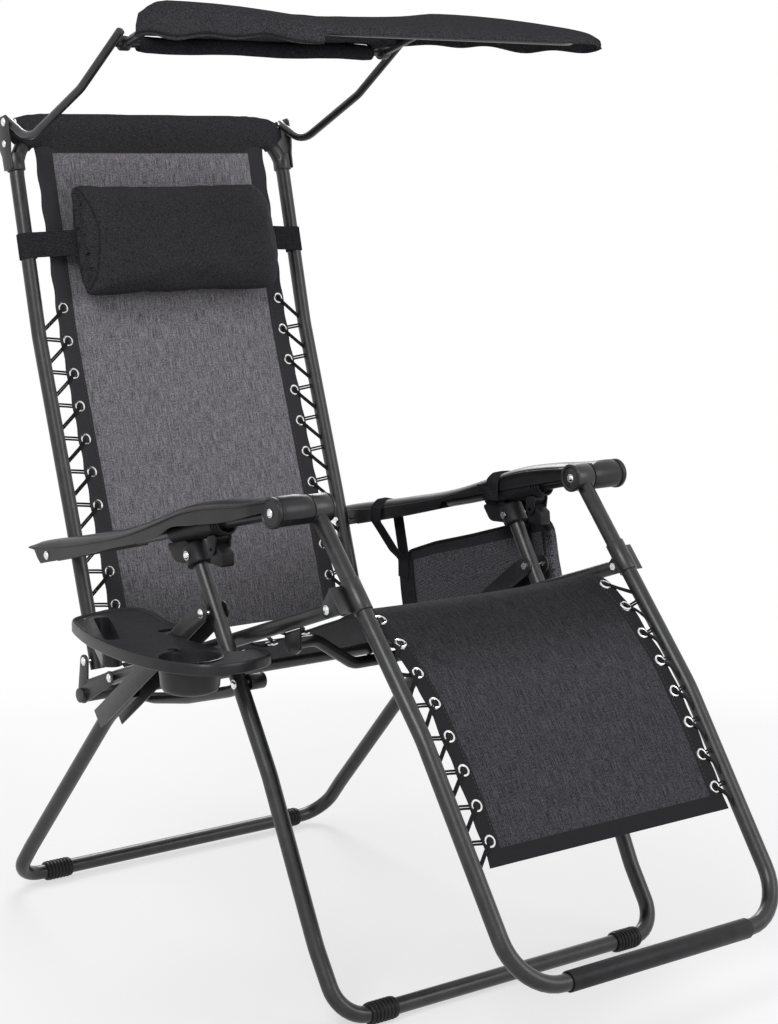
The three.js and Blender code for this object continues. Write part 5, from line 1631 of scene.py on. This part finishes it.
for name, front, rear in (("outer", 14, 42), ("inner", 98, 70)):
    step = 1 if rear > front else -1
    edge_line = [bag_rings[j][front] for j in range(20, 1, -1)]
    edge_line += [bag_rings[1][k] for k in range(front, rear + step, step)]
    edge_line += [bag_rings[j][rear] for j in range(2, 21)]
    binding = tube_shell([at(*p) for p in edge_line], BINDING_R, 8)
    new_piece(f"bag_binding_{name}", binding, band_cloth, "armrest_left", slot="black_cloth")
print("bag is hung")

# %% [markdown]
# The cup tray is one glossy moulding: a plate with a raised rounded rim and a skirt, a cup
# well, a slot, and a notch that clips round the legs. The rim is lofted from insets of the
# smooth outline; the openings are cut with Booleans and then every edge is rounded.

# %% Cup tray
TRAY_OUTER, TRAY_WIDE, TRAY_FRONT, TRAY_LONG = 428, 182, -312, 406
TRAY_SHARES = [
    (0.36, 0.935), (0.6, 0.98), (0.84, 1), (0.985, 0.955), (0.99, 0.87), (0.87, 0.68), (0.84, 0.5),
    (0.84, 0.25), (0.79, 0.06), (0.6, 0.01), (0.4, 0), (0.2, 0.025), (0.05, 0.14), (0, 0.32),
    (0.07, 0.59), (0.18, 0.77),
]


def blend(a, b, from_t, to_t, t):
    return a * (to_t - t) / (to_t - from_t) + b * (t - from_t) / (to_t - from_t)


def closed_curve(points):
    """A closed Catmull-Rom curve with centripetal spacing, nine points to a span."""
    pts = [np.array(p, float) for p in points]
    out, count = [], len(points)
    for i in range(count):
        p0, p1, p2, p3 = (pts[(i + k) % count] for k in (-1, 0, 1, 2))
        t1 = np.linalg.norm(p1 - p0) ** 0.5
        t2 = t1 + np.linalg.norm(p2 - p1) ** 0.5
        t3 = t2 + np.linalg.norm(p3 - p2) ** 0.5
        for t in np.linspace(t1, t2, 9, endpoint=False):
            a1, a2, a3 = blend(p0, p1, 0, t1, t), blend(p1, p2, t1, t2, t), blend(p2, p3, t2, t3, t)
            out.append(blend(blend(a1, a2, 0, t2, t), blend(a2, a3, t1, t3, t), t1, t2, t))
    return out


outline = closed_curve([(-TRAY_OUTER + a * TRAY_WIDE, TRAY_FRONT + b * TRAY_LONG) for a, b in TRAY_SHARES])


def inset_outline(inset):
    """The tray's outline moved inwards."""
    count, out = len(outline), []
    for i in range(count):
        way = outline[(i + 1) % count] - outline[i - 1]
        way = way / np.linalg.norm(way)
        out.append(outline[i] + inset * np.array((way[1], -way[0])))
    return out


TRAY_RIM = [(1.2, 455.6), (0, 457), (0, 466.5), (0.5, 469.2), (1.8, 470.8), (3.6, 470.9), (5.4, 469.6),
            (7.5, 468.3), (10, 468), (10, 464), (3, 464), (2.6, 455.6)]
tray_shell = ring_shell([[at(x, y, z) for x, y in inset_outline(i)] for i, z in TRAY_RIM], closed=True)
plate_rings = [[at(x, y, z) for x, y in inset_outline(9)] for z in (464, 468)]


def cutter(shell):
    obj = add_object("cutter", *shell)
    outward(obj.data)
    return obj


def combined(obj, shell, operation):
    tool = cutter(shell)
    change = obj.modifiers.new("change", "BOOLEAN")
    change.operation, change.solver, change.object = operation, "EXACT", tool
    baked(obj)
    bpy.data.objects.remove(tool)


def upright_shell(profile, cx, cy):
    """A profile of (radius, z) turned about an upright axis."""
    return ring_shell([circle(at(cx, cy, z), X, Y, r, 48) for r, z in profile])


def slot_outline(cx, cy, long, wide, degrees):
    """A slot with round ends, turned about its middle."""
    turned = math.radians(degrees)
    places = []
    for end in (1, -1):
        for k in range(11):
            a = math.pi * (k / 10 - 0.5) + (math.pi if end < 0 else 0)
            px = end * (long - wide) / 2 + math.cos(a) * wide / 2
            py = math.sin(a) * wide / 2
            places.append((cx + px * math.cos(turned) - py * math.sin(turned),
                           cy + px * math.sin(turned) + py * math.cos(turned)))
    return places


def prism(places, low, high):
    return ring_shell([[at(x, y, z) for x, y in places] for z in (low, high)])


def rounded_box(x0, x1, y0, y1, r):
    centres = ((x1 - r, y1 - r, 0), (x0 + r, y1 - r, 90), (x0 + r, y0 + r, 180), (x1 - r, y0 + r, 270))
    places = []
    for cx, cy, start in centres:
        for k in range(6):
            a = math.radians(start + 18 * k)
            places.append((cx + r * math.cos(a), cy + r * math.sin(a)))
    return places


cup_x, cup_y = -TRAY_OUTER + 0.286 * TRAY_WIDE, TRAY_FRONT + 0.185 * TRAY_LONG
slot_x, slot_y = -TRAY_OUTER + 0.39 * TRAY_WIDE, TRAY_FRONT + 0.744 * TRAY_LONG
CUP_WALL = [(30, 423), (35, 425), (38.5, 431), (41.5, 462), (42.2, 466), (43.6, 469.3), (42, 470.2),
            (40.6, 469.2), (20, 468.5)]
CUP_WELL = [(29, 426), (34, 428), (37, 433), (40, 466), (42, 480)]
tray = cutter(tray_shell)
tray.name = tray.data.name = "tray_moulding"
for shell, operation in (
    (ring_shell(plate_rings), "UNION"),
    (upright_shell(CUP_WALL, cup_x, cup_y), "UNION"),
    (prism(slot_outline(slot_x, slot_y, 165, 27, 63), 431, 466), "UNION"),
    (upright_shell(CUP_WELL, cup_x, cup_y), "DIFFERENCE"),
    (prism(slot_outline(cup_x + 8, cup_y + 44, 34, 13, 80), 465.2, 480), "DIFFERENCE"),
    (prism(rounded_box(-315.6, -100, -246, -66, 9), 440, 490), "DIFFERENCE"),
    (prism(slot_outline(slot_x, slot_y, 160, 22, 63), 425, 490), "DIFFERENCE"),
):
    combined(tray, shell, operation)
round_edges(tray, 0.7, 50)
tray.data.materials.clear()
tray.data.materials.append(gloss_plastic.material)
finish_edges(tray, 40)
settle(tray, "tray", "cup_tray")
print("tray", len(tray.data.polygons), "faces")
